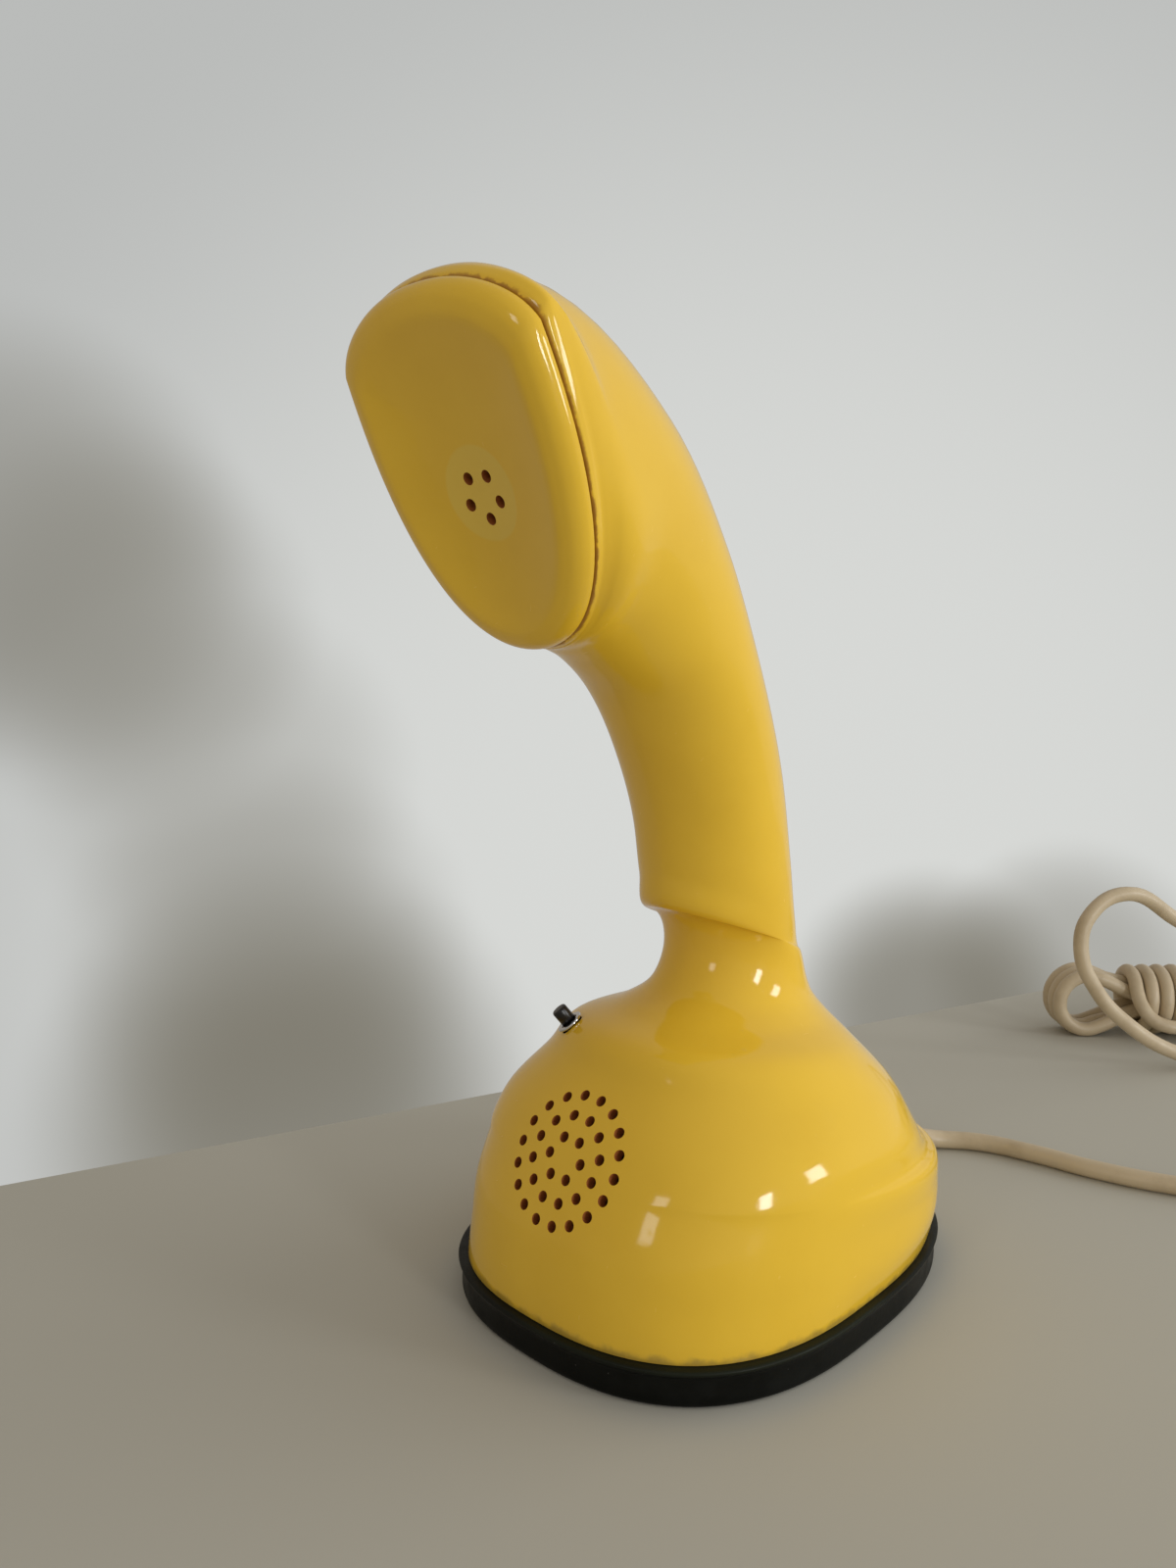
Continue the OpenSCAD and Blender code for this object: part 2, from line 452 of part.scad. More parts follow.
// ---- receiver in the head
rec_r = 20;
rec_t = 13;
rec_front = cap_h - dish - 2.4;
module receiver_gasket() color([0.1, 0.1, 0.1]) place() on_cap(ear_at) translate([0, 0, rec_front - 1.5]) tube(rec_r, 11, 1.5);
module receiver_capsule() color([0.6, 0.6, 0.62]) place() on_cap(ear_at) translate([0, 0, rec_front - 1.5 - rec_t])
  turned([[0, 0], [rec_r - 6, 0], [rec_r - 5, rec_t * .5], [rec_r, rec_t * .5], [rec_r, rec_t], [0, rec_t]]);
post_d = rec_r + 3.1;
clip_z = rec_front - 1.5 - rec_t * .5 - 1.2;
module receiver_clip() color([0.72, 0.72, 0.74]) place() on_cap(ear_at) translate([0, 0, clip_z]) difference() {
  union() {
    disc(rec_r + .5, 1.2);
    for (s = [-1, 1]) translate([0, s * post_d, 0]) disc(3, 1.2);
    for (s = [-1, 1]) translate([-3, s > 0 ? 15 : -post_d, 0]) cube([6, post_d - 15, 1.2]);
  }
  translate([0, 0, -1]) disc(rec_r - 4.8, 4);
  for (s = [-1, 1]) translate([0, s * post_d, -1]) disc(1.1, 4);
}
module receiver_screws() color([0.75, 0.72, 0.6]) place() on_cap(ear_at) for (s = [-1, 1])
  translate([0, s * post_d, clip_z]) screw(1.1, 7, 2.2, 1.4);

// ---- push button on the shoulder
push_seat = 0.3;
module recall_nut() color([0.85, 0.85, 0.87]) place() on_push() translate([0, 0, push_seat]) difference() {
  union() {
    cylinder(r = push_thread_r + 1.7, h = 1.5, $fn = 6);
    disc(push_thread_r + 1, 2.1);
  }
  translate([0, 0, -1]) disc(push_thread_r, 5);
}
module recall_switch() color([0.2, 0.2, 0.22]) place() on_push() difference() {
  union() {
    translate([0, 0, -9]) disc(push_thread_r, 11.2);
    translate([-5, -4, -17]) cube([10, 8, 10.5]);
    for (x = [-3, 3]) translate([x - .4, -1.2, -20.5]) cube([.8, 2.4, 4]);
  }
  translate([0, 0, -11.5]) disc(push_stem_r + .1, 20);
}
push_top = 6.2;
module recall_button() color([0.06, 0.06, 0.06]) place() on_push() {
  translate([0, 0, 2.4 + push_travel]) disc(push_r, push_top - 2.4 - push_travel);
  translate([0, 0, -7.5]) disc(push_stem_r, 10 + push_travel);
}

// ---- leads up the grip, and the line cord
function hermite(p, f) = let (i = min(floor(f), len(p) - 2), u = f - i, a = p[i], b = p[i+1],
  m0 = i == 0 ? b - a : (b - p[i-1]) / 2, m1 = i == len(p) - 2 ? b - a : (p[i+2] - a) / 2)
  (2*u*u*u - 3*u*u + 1) * a + (u*u*u - 2*u*u + u) * m0 + (3*u*u - 2*u*u*u) * b + (u*u*u - u*u) * m1;
module wire(points, d, per, corners) {
  n = (len(points) - 1) * per;
  loft([for (k = [0 : n]) let (c = hermite(points, k / per), e = hermite(points, min(k / per + .02, len(points) - 1))
    - hermite(points, max(k / per - .02, 0)), w = e / norm(e), side = cross(w, [.1, .2, .97]), u = side / norm(side),
    v = cross(w, u)) [for (j = [0 : corners-1]) let (a = 360 * j / corners) c + d / 2 * (cos(a) * u + sin(a) * v)]]);
}
function from_cap(d, h) = [0, cap_low[0] + d * cap_dir[0] + h * cap_out[0], cap_low[1] + d * cap_dir[1] + h * cap_out[1]];
rec_back = rec_front - 1.5 - rec_t;
lead_run = [[-1, board_y, board_top + .1], [-1, board_y, board_top + 7], [-2, 36, 40], [-3, 26, 54],
  [-3, 17, 68], [0, 12, 86], [0, 4, 108], [0, -2, 128], [0, -10, 148], [0, -22, 168], [0, -33, 187], [0, -42, 198],
  from_cap(ear_at, rec_back - 5), from_cap(ear_at, rec_back - .1)];
module receiver_leads() color([0.2, 0.2, 0.22]) place() for (x = [-1.3, 1.3])
  wire([for (q = lead_run) q + [x, 0, 0]], 1.8, 3, 6);
clamp_y = back_y - 10;
relief_len = 7;
module cord_strain_relief() color([0.85, 0.82, 0.74]) place() translate([0, back_y - 5, cord_z]) rotate([-90, 0, 0])
  turned([[cord_d/2 + .1, 0], [grommet_r + .8, 0], [grommet_r + .8, 1.2], [grommet_r, 1.2], [grommet_r, 6],
    [grommet_r - .2, 8], [cord_d/2 + .8, 5 + relief_len], [cord_d/2 + .1, 5 + relief_len]]);
module cord_clamp() color([0.7, 0.7, 0.72]) place() translate([0, clamp_y, plate_z]) difference() {
  translate([-6, -3, 0]) cube([12, 6, cord_z - plate_z + cord_d / 2 + 1.4]);
  translate([0, 0, cord_z - plate_z]) rotate([90, 0, 0]) translate([0, 0, -5]) disc(cord_d / 2 + .05, 10);
  translate([0, 0, -1]) disc(.95, cord_z - plate_z - cord_d / 2 + .5);
}
module clamp_screw() color([0.75, 0.72, 0.6]) place() translate([0, clamp_y, foot_h]) screw(.95, plate_t + 2, 1.9, 1.2);
// The cord leaves the clamp, lies over the table, stands up in one loop and ends in a hank: three turns
// folded in upright planes, wrapped round the middle with its own end. The hank's points run along it,
// across it and up.
hank_at = [18, 284];
hank_turn = 45.25;
hank_fold = 2.04 * cord_d;
hank_h = 2 * hank_fold + cord_d;
hank_long = 82 + hank_h;
hank_wide = 3 * cord_d;
wrap_from = -30;
wrap_to = 11;
lie = cord_d / 2;
cord_run = [[0, back_y - 13, cord_z], [0, back_y - 5, cord_z], [0, back_y + 3, cord_z], [0, back_y + 9, cord_z],
  [0, back_y + 18, 14], [1, 94, 8], [5, 106, 3.5], [17, 116, lie], [33, 120, lie], [51, 122, lie], [72, 128, lie],
  [96, 141, lie], [114, 162, lie], [124, 188, lie], [127, 216, lie], [123, 241, lie], [111, 261, lie],
  [94, 272, lie], [77, 273, lie]];
loop_run = [[16, -45, lie], [3, -45, lie], [-10, -44.5, 3.5], [-23, -44.5, 6.5], [-43, -47, 18.5], [-55.5, -47.3, 31.7],
  [-61.5, -46.5, 46.5], [-58, -44, 59], [-42, -39, 66.4], [-21, -34, 55.5], [-3, -29, 44.5], [14, -22, 35.5],
  [27, -13, 33], [36, -9, 30.8]];
tail_run = [[-8, -15.9, 8.6], [14, -16.6, 7], [38, -15.5, 3.5], [50, -17.5, lie], [62, -16, lie], [70, -8, lie],
  [72.5, 3, lie], [70, 14, lie], [63, 22, 3.5], [54, 25.5, 5.5], [48, 26, 7.5], [44.1, 26, 7.5]];
function hank_spot(q) = [hank_at[0] + q[0] * cos(hank_turn) - q[1] * sin(hank_turn),
  hank_at[1] + q[0] * sin(hank_turn) + q[1] * cos(hank_turn), q[2]];
module on_hank() translate([hank_at[0], hank_at[1], 0]) rotate(hank_turn) children();
module line_cord() color([0.88, 0.85, 0.76]) place() {
  wire(concat(cord_run, [for (q = loop_run) hank_spot(q)]), cord_d, 2, 8);
  wire([for (q = tail_run) hank_spot(q)], cord_d, 1, 8);
}
module cord_hank() color([0.86, 0.83, 0.74]) place() on_hank() {
  translate([0, hank_wide / 2, hank_h / 2]) rotate([90, 0, 0]) linear_extrude(hank_wide)
    hull() for (s = [-1, 1]) translate([s * (hank_long - hank_h) / 2, 0]) circle(r = hank_h / 2, $fn = 40);
  translate([wrap_from, 0, hank_h / 2]) rotate([0, 90, 0]) disc(hank_h / 2 - .02, wrap_to - wrap_from);
}
module on_plug() on_hank() translate([31, 26, 7.5]) rotate(180) children();
pin_r = 1.9;
pin_long = 21;
module plug_body() color([0.85, 0.82, 0.74]) place() on_plug() difference() {
  translate([-13, -11, -7.5]) cube([30, 22, 15]);
  for (y = [-6, 6]) translate([10, y, 0]) rotate([0, 90, 0]) disc(pin_r, 10);
}
module plug_pins() color([0.8, 0.7, 0.4]) place() on_plug() for (y = [-6, 6]) translate([10, y, 0]) rotate([0, 90, 0])
  disc(pin_r, pin_long);

housing_shell();
ear_cap();
foot_ring();
base_plate();
base_screws();
dial_ring();
finger_wheel();
finger_stop();
dial_shaft();
dial_frame();
dial_bridge();
dial_screws();
drive_gear();
impulse_cam();
impulse_contacts();
dial_return_spring();
governor_pinion();
governor_weights();
governor_cup();
hook_button();
hook_rod();
hook_spring();
hook_contacts();
microphone_capsule();
microphone_clip();
receiver_gasket();
receiver_capsule();
receiver_clip();
receiver_screws();
terminal_board();
board_screws();
induction_coil();
capacitor();
recall_button();
recall_nut();
recall_switch();
receiver_leads();
cord_strain_relief();
cord_clamp();
clamp_screw();
line_cord();
cord_hank();
plug_body();
plug_pins();
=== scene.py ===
# %% [markdown]
# A one-piece upright telephone: a moulded body that is handset and base at once. It stands on a black
# rubber ring, with the dial underneath, a cap with five holes for the ear, a drilled grille for the
# voice, and a cord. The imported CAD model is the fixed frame. New pieces are built in its coordinates,
# in metres, so they need no fitting: they only have to follow the same sections, a little finer.

import json
import math

import bmesh
import bpy
from mathutils import Matrix, Vector


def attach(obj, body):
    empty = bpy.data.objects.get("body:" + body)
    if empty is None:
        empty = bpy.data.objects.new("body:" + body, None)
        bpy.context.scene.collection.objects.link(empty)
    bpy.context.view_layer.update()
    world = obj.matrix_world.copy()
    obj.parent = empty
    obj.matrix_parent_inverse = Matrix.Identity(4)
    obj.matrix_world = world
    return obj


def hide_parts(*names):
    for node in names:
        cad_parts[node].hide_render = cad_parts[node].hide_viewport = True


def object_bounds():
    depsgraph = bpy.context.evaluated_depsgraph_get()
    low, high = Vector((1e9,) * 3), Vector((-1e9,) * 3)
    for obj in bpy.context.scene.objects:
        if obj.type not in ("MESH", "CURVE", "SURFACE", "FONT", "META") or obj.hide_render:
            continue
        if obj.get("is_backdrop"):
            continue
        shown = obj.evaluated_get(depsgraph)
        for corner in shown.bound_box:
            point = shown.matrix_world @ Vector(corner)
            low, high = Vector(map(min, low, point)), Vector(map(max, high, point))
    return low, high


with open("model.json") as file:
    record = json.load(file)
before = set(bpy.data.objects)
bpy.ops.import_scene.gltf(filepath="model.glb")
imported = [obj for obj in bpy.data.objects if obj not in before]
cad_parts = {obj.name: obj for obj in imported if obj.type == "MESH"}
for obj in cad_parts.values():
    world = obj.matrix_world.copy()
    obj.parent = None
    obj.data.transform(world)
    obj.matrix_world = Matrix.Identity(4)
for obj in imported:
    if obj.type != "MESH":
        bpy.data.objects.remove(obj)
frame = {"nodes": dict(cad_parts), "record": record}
cad_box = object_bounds()
nodes = frame["nodes"]
print("nodes in the frame:", len(nodes))

# %% [markdown]
# Every length below is written in the designer's millimetres. The design's Y is 12.95 mm off the
# frame's, because the origin sits under the middle of the outline. One small function does both steps,
# so no piece has to be moved afterwards.

# %% From design millimetres to the frame
FRAME_Y = 12.95


def place(x, y, z):
    return Vector((x, y + FRAME_Y, z)) / 1000


def mm(length):
    return length / 1000


print("the design's origin, in the frame:", [round(c, 5) for c in place(0, 0, 0)])

# %% [markdown]
# The camera stands to the right of the mouthpiece, a little above the middle of the telephone, and looks
# slightly down. The telephone fills most of an upright frame of 1200 by 1600, and the cord runs out of it
# on the right.

# %% Camera
camera_data = bpy.data.cameras.new("camera")
camera_data.lens = 28.13
camera_data.sensor_width = 36
camera_data.clip_start = 0.01
camera = bpy.data.objects.new("camera", camera_data)
camera.location = (0.1942, -0.22225, 0.1634)
camera.rotation_euler = (math.radians(83), 0, math.radians(45.25))
bpy.context.scene.collection.objects.link(camera)
bpy.context.scene.camera = camera
print("camera at", [round(c, 3) for c in camera.location])

# %% [markdown]
# The line cord leaves the back of the base, runs over the table in one loose curve, stands up in a loop
# and ends in a hank: three long turns folded in upright planes, with the cord's own end wrapped round
# their middle. A curve with a round bevel is the natural tool, because its own line is the centre of the
# cord. The route is written as points, and automatic handles make it smooth.

# %% The cord's run and its standing loop
CORD = 5.5
LIE = CORD / 2
cord_run = [
    (0, 51, 17), (0, 59, 17), (0, 67, 17), (0, 73, 17), (0, 82, 14), (1, 94, 8), (5, 106, 3.5),
    (17, 116, LIE), (33, 120, LIE), (51, 122, LIE), (72, 128, LIE), (96, 141, LIE), (114, 162, LIE),
    (124, 188, LIE), (127, 216, LIE), (123, 241, LIE), (111, 261, LIE), (94, 272, LIE), (77, 273, LIE),
]
loop_run = [
    (16, -45, LIE), (3, -45, LIE), (-10, -44.5, 3.5), (-23, -44.5, 6.5), (-43, -47, 18.5),
    (-55.5, -47.3, 31.7), (-61.5, -46.5, 46.5), (-58, -44, 59), (-42, -39, 66.4), (-21, -34, 55.5),
    (-3, -29, 44.5), (14, -22, 35.5), (27, -13, 33), (36, -9, 30.8),
]
tail_run = [
    (14, -16.6, 7), (24, -15.5, 5.5), (38, -15.5, 3.5), (50, -17.5, LIE), (62, -16, LIE), (70, -8, LIE),
    (72.5, 3, LIE), (70, 14, LIE), (63, 22, 3.5), (54, 25.5, 5.5), (48, 26, 7.5), (44.1, 26, 7.5),
]
print("points before and after the hank:", len(cord_run) + len(loop_run), len(tail_run))

# %% The hank: folded turns and the wrapping
FOLD = 2.04 * CORD
MIDDLE = FOLD + LIE
FOLD_AT = 41
PLANES = (-5.5, 0, 5.5)
WAIST = ((-4.9, 2.95), (0, 5.75), (4.9, 2.95))


def fold_points(side, plane, first, final, steps):
    """Points round one end of a turn, in an upright plane."""
    turns = [math.radians(first + (final - first) * k / steps) for k in range(steps + 1)]
    return [(side * FOLD_AT + FOLD * math.cos(a), plane, MIDDLE + FOLD * math.sin(a)) for a in turns]


hank = [(43, -6.6, MIDDLE + 13)]
for turn, (plane, (across, up)) in enumerate(zip(PLANES, WAIST)):
    spread = 2.7 if turn == 1 else 4.2
    first = 38 if turn == 0 else 107
    hank += fold_points(1, plane, first, -107, 5 if turn == 0 else 8)
    hank += [(24, (plane + across) / 2, MIDDLE - up - spread), (10, across, MIDDLE - up - .2),
             (-4, across, MIDDLE - up), (-16, across, MIDDLE - up), (-22, across, MIDDLE - up - .7)]
    hank += fold_points(-1, plane, -60, -300, 8)
    hank += [(-22, across, MIDDLE + up + .7), (-16, across, MIDDLE + up), (-4, across, MIDDLE + up)]
    if turn < 2:
        hank += [(10, across, MIDDLE + up + .2), (24, (across + PLANES[turn + 1]) / 2, MIDDLE + up + spread)]
hank.append((5, WAIST[2][0] + .1, MIDDLE + WAIST[2][1] + .1))


def round_waist(along, angle, radius):
    turn = math.radians(angle)
    return (along, radius * math.cos(turn), MIDDLE + radius * math.sin(turn))


WRAP_R, WRAP_PITCH, WRAP_START, WRAP_POINTS = 11.45, 6, 12.6, 72
hank += [round_waist(*q) for q in ((12.5, 36, 6.9), (18, 50, 9.8), (21, 74, 13.6), (19.6, 102, 14.6),
                                   (16.8, 128, 13.6), (14.4, 154, 12.3))]
hank += [round_waist(WRAP_START - WRAP_PITCH * k / 12, 180 + 30 * k, WRAP_R) for k in range(WRAP_POINTS)]
wrap_end = WRAP_START - WRAP_PITCH * (WRAP_POINTS - 1) / 12
hank += [(wrap_end + .3, -13.4, MIDDLE + 1.6), (wrap_end + 3.6, -16, MIDDLE - 3.4),
         (wrap_end + 9.4, -16.8, MIDDLE - 6.2), (-6, -16.9, 7.2), (4, -16.9, 7)]
print("points in the hank:", len(hank))

# %% The cord as one open spline
HANK_AT = (18, 284)
HANK_TURN = math.radians(45.25)


def hank_place(along, across, z):
    c, s = math.cos(HANK_TURN), math.sin(HANK_TURN)
    return place(HANK_AT[0] + along * c - across * s, HANK_AT[1] + along * s + across * c, z)


route = [place(*q) for q in cord_run] + [hank_place(*q) for q in loop_run + hank + tail_run]
cord_data = bpy.data.curves.new("line_cord_and_hank", "CURVE")
cord_data.dimensions = "3D"
cord_data.bevel_depth = 1  # each point's radius scales it, and the object's box counts that radius
cord_data.bevel_resolution = 5
cord_data.resolution_u = 8
cord_data.use_fill_caps = True
spline = cord_data.splines.new("BEZIER")
spline.bezier_points.add(len(route) - 1)
for knot, point in zip(spline.bezier_points, route):
    knot.co = point
    knot.radius = mm(CORD / 2)
    knot.handle_left_type = knot.handle_right_type = "AUTO"
cord = bpy.data.objects.new("line_cord_and_hank", cord_data)
bpy.context.scene.collection.objects.link(cord)
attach(cord, "telephone")
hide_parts("line_cord", "cord_hank")
print("cord points:", len(route))

# %% [markdown]
# The body is a loft. Each station is one flat section: where its front and its back lie, how wide it is,
# and how square its corners are. A smooth curve through the stations gives every section in between, so
# a few numbers, close to those that drive the CAD model, give a skin as fine as a close look needs.

# %% The body's stations
# In each: front y and z, back y and z, half width, where it is widest, how square the front corners and the
# back corners are, and how much wider the back is.
TILT = math.radians(24.4)
CAP_LOW, CAP_LONG = (-56.4, 160.6), 76
CAP_DIR = (-math.sin(TILT), math.cos(TILT))
CAP_OUT = (-math.cos(TILT), -math.sin(TILT))
CAP_HIGH = tuple(low + CAP_LONG * d for low, d in zip(CAP_LOW, CAP_DIR))
BROW = [high - 3 * out + 1.2 * up for high, out, up in zip(CAP_HIGH, CAP_OUT, CAP_DIR)]
stations = [
    (-60.6, 9.0, 63.7, 9.0, 49.8, .47, 2.5, 2.68, -.05),
    (-59.8, 18.0, 63.6, 17.0, 51.0, .50, 2.57, 2.47, 0),
    (-57.5, 29.0, 64.3, 22.7, 51.0, .50, 2.62, 2.42, 0),
    (-52.6, 39.8, 63.6, 29.6, 51.0, .50, 2.6, 2.2, 0),
    (-51.7, 41.5, 61.0, 30.5, 50.4, .50, 2.6, 2.25, -.02),
    (-47.5, 48.5, 55.9, 36.7, 49.3, .50, 2.5, 2.16, -.02),
    (-38.0, 59.5, 48.6, 49.4, 42.4, .50, 2.23, 2.07, 0),
    (-33.5, 67.5, 40.1, 59.2, 35.4, .50, 2.08, 1.95, 0),
    (-21.3, 71.2, 35.5, 65.6, 25.0, .50, 2.0, 2.0, 0),
    (-11.9, 76.0, 32.3, 69.7, 20.1, .50, 2.0, 2.0, 0),
    (-7.3, 85.0, 29.5, 73.0, 18.6, .50, 2.0, 2.0, 0),
    (-11.0, 95.2, 26.7, 80.0, 18.6, .50, 2.0, 2.0, 0),
    (-15.6, 96.8, 26.4, 81.2, 18.65, .50, 2.0, 2.0, 0),
    (-17.0, 106.0, 24.1, 88.6, 19.15, .50, 2.0, 2.0, 0),
    (-19.2, 120.0, 21.2, 105.0, 19.4, .50, 2.0, 2.0, 0),
    (-25.8, 137.0, 16.0, 131.0, 20.0, .50, 2.05, 2.0, 0),
    (-33.5, 149.2, 2.4, 163.5, 21.7, .50, 2.05, 2.0, 0),
    (-42.5, 155.8, -8.8, 187.2, 22.1, .50, 2.05, 2.05, 0),
    (-50.0, 159.2, -32.1, 215.2, 24.9, .51, 2.05, 2.08, -.02),
    (-54.0, 160.1, -72.2, 233.5, 29.2, .58, 2.05, 2.3, -.10),
    (-55.2, 160.2, *BROW, 29.7, .86, 2.07, 2.0, -.18),
    (*CAP_LOW, *CAP_HIGH, 29.3, .84, 2.07, 2.2, -.20),
]
LAST = len(stations) - 1
print("stations:", len(stations), "height of the throat:", stations[LAST][1])


# %% The smooth curve through the stations
def blend(a, b, share_a, share_b):
    return tuple(p * share_a + q * share_b for p, q in zip(a, b))


def step_of(i):
    a, b = stations[i], stations[i + 1]
    return (math.dist(a[0:2], b[0:2]) + math.dist(a[2:4], b[2:4])) / 2


def rise(i):
    return blend(stations[i + 1], stations[i], 1 / step_of(i), -1 / step_of(i))


def lean(i):
    if i == 0 or i == LAST:
        return rise(min(i, LAST - 1))
    near, far = step_of(i - 1), step_of(i)
    return blend(rise(i - 1), rise(i), far / (near + far), near / (near + far))


def section(p):
    """The section at place p along the body: station 4 and a half is 4.5."""
    i = min(int(p), LAST - 1)
    f = p - i
    ends = blend(stations[i], stations[i + 1], 2 * f**3 - 3 * f**2 + 1, 3 * f**2 - 2 * f**3)
    slopes = blend(lean(i), lean(i + 1), (f**3 - 2 * f**2 + f) * step_of(i), (f**3 - f**2) * step_of(i))
    return blend(ends, slopes, 1, 1)


# %% Points of a section
def signed_power(c, n):
    return math.copysign(abs(c) ** (2 / n), c)


def spot(s, angle):
    """The point of section s that lies at this angle, from the front round."""
    c, n = math.cos(angle), s[6] if math.cos(angle) > 0 else s[7]
    u = -signed_power(c, n)
    v = signed_power(math.sin(angle), n) * (1 + s[8] * u)
    a = s[5] * (1 + u) if u < 0 else s[5] + u * (1 - s[5])
    return Vector((v * s[4], s[0] + a * (s[2] - s[0]), s[1] + a * (s[3] - s[1])))


def drawn_in(s, w):
    """The same section, smaller all round by w."""
    long = Vector((s[2] - s[0], s[3] - s[1])).normalized() * w
    return (s[0] + long.x, s[1] + long.y, s[2] - long.x, s[3] - long.y, s[4] - w, *s[5:])


def outward(p, angle):
    along = spot(section(min(p + .02, LAST)), angle) - spot(section(max(p - .02, 0)), angle)
    around = spot(section(p), angle + .02) - spot(section(p), angle - .02)
    return around.cross(along).normalized()


SIDES = 144
AROUND = [math.tau * k / SIDES for k in range(SIDES)]


def ring(s, w=0):
    """The section's outline as points, drawn in by w."""
    return [spot(drawn_in(s, w), angle) for angle in AROUND]


print("points in a ring:", SIDES)

# %% [markdown]
# A ring is made once with create_circle. The skin then grows from it: extrude the ring's edges, move the
# new ring to its section, and repeat. This keeps the columns of faces lined up along the body, which
# bridging separate rings would have to guess.

# %% Growing a skin from rings
def next_row(bm, row, edges):
    """Extrudes a ring of edges and gives the new vertices in the same order."""
    extruded = bmesh.ops.extrude_edge_only(bm, edges=edges)["geom"]
    grown = {g for g in extruded if isinstance(g, bmesh.types.BMVert)}
    return [next(e.other_vert(v) for e in v.link_edges if e.other_vert(v) in grown) for v in row]


def ring_edges(bm, row):
    return [bm.edges.get((row[k], row[k - 1])) for k in range(len(row))]


def grow_skin(rings, closed=False):
    """A skin through rings of points: its two ends are joined to each other, or each gets a flat face."""
    bm = bmesh.new()
    row = list(bmesh.ops.create_circle(bm, segments=len(rings[0]), radius=1)["verts"])
    opening = None
    for number, points in enumerate(rings):
        if number:
            row = next_row(bm, row, edges)
        for v, point in zip(row, points):
            v.co = point
        edges = ring_edges(bm, row)
        opening = opening or edges
    if closed:
        bmesh.ops.bridge_loops(bm, edges=opening + edges)
    else:
        bmesh.ops.holes_fill(bm, edges=opening + edges, sides=0)
    bmesh.ops.recalc_face_normals(bm, faces=bm.faces)
    return bm


# %% Turning a bmesh into a finished piece
SOFT_UP_TO = 32


def finished(bm, name, body, sharp=SOFT_UP_TO):
    """Links the mesh, shades it smooth up to an angle and lets it ride on its body."""
    mesh = bpy.data.meshes.new(name)
    bm.to_mesh(mesh)
    bm.free()
    mesh.shade_smooth()
    mesh.set_sharp_from_angle(angle=math.radians(sharp))
    piece = bpy.data.objects.new(name, mesh)
    bpy.context.scene.collection.objects.link(piece)
    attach(piece, body)
    print(name, "faces:", len(mesh.polygons))
    return piece


def placed(rings):
    return [[place(*point) for point in points] for points in rings]


def smooth_line(points, per):
    """A smooth line through flat points, with per steps between each two."""
    line = []
    for i in range(len(points) - 1):
        a, b = points[i], points[i + 1]
        before, after = points[max(i - 1, 0)], points[min(i + 2, len(points) - 1)]
        for f in (k / per for k in range(per)):
            line.append(tuple((2 * f**3 - 3 * f**2 + 1) * a[n] + (3 * f**2 - 2 * f**3) * b[n]
                              + (f**3 - 2 * f**2 + f) * (b[n] - before[n]) / 2
                              + (f**3 - f**2) * (after[n] - a[n]) / 2 for n in (0, 1)))
    return line + [points[-1]]


# %% [markdown]
# The shell is one moulding with a wall of 2.8 mm. The outside runs from the rim to the seam of the ear
# cap, with a small radius at both edges, and the inside comes back down, so that the skin closes on
# itself and the holes have depth.

# %% The shell's skin
WALL, LIP = 2.8, 0.7
SEAM_STEP = step_of(LAST - 1)
BEAD_AT, BEAD_WIDE, BEAD_DEEP = 19.9, .16, .14  # a faint valley, which sets off the bead round the mouth


def inner_ring(p):
    return [spot(section(p), angle) - WALL * outward(p, angle) for angle in AROUND]


places = [.02] + [k / 8 for k in range(1, 24)] + [3 + k / 10 for k in range(10)]
places += [4 + k / 8 for k in range(122)]
places += [19.2 + k / 20 for k in range(17)] + [20.15, 20.3, 20.45, 20.6]
shell_rings = [ring(section(0), .5), ring(section(.005), .15)]
shell_rings += [ring(section(p), BEAD_DEEP * math.exp(-((p - BEAD_AT) / BEAD_WIDE) ** 2)) for p in places]
for turn in (0, 30, 60, 90):
    back, inset = LIP * (1 - math.sin(math.radians(turn))), LIP * (1 - math.cos(math.radians(turn)))
    shell_rings.append(ring(section(LAST - back / SEAM_STEP), inset))
shell_rings.append(ring(section(LAST), WALL))
# Near the mouth the sections fan out, so there the wall is measured within each section.
shell_rings += [ring(section(p), WALL + .2) for p in (20, 19.5, 19, 18.5, 18)]
way_down = (17.5, 17.1, 16.5, 16, 15, 14, 13, 10, 9, 8.4, 7.8, 7.2, 6.5, 5.8, 5, 3.2, 1.5)
shell_rings += [inner_ring(p) for p in way_down]
shell_rings.append(ring(section(0), WALL))
shell = finished(grow_skin(placed(shell_rings), closed=True), "shell", "telephone")
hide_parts("housing_shell")

# %% [markdown]
# Holes are drilled with boolean cutters, as a mould has its pins. All cutters of one piece are joined in
# one mesh, so the boolean runs once. Their faces carry the second material, so the walls of the holes can
# be darkened with painted shade. The boolean is applied at once, because the finished mesh is what the part
# keeps.

# %% Drilling
GRILLE, GRILLE_LEAN = (-49.72, 43.8), math.radians(30)


def on_grille(x, y, z):
    """A point in the mouthpiece's frame: across, up its slope and out of it."""
    return place(x, GRILLE[0] + y * math.sin(GRILLE_LEAN) - z * math.cos(GRILLE_LEAN),
                 GRILLE[1] + y * math.cos(GRILLE_LEAN) + z * math.sin(GRILLE_LEAN))


EAR_AT = 34.2


def on_cap(across, up, out):
    """A point in the ear cap's frame: across, up its length from the holes' centre, and out of it."""
    y = CAP_LOW[0] + (EAR_AT + up) * CAP_DIR[0] + out * CAP_OUT[0]
    z = CAP_LOW[1] + (EAR_AT + up) * CAP_DIR[1] + out * CAP_OUT[1]
    return place(across, y, z)


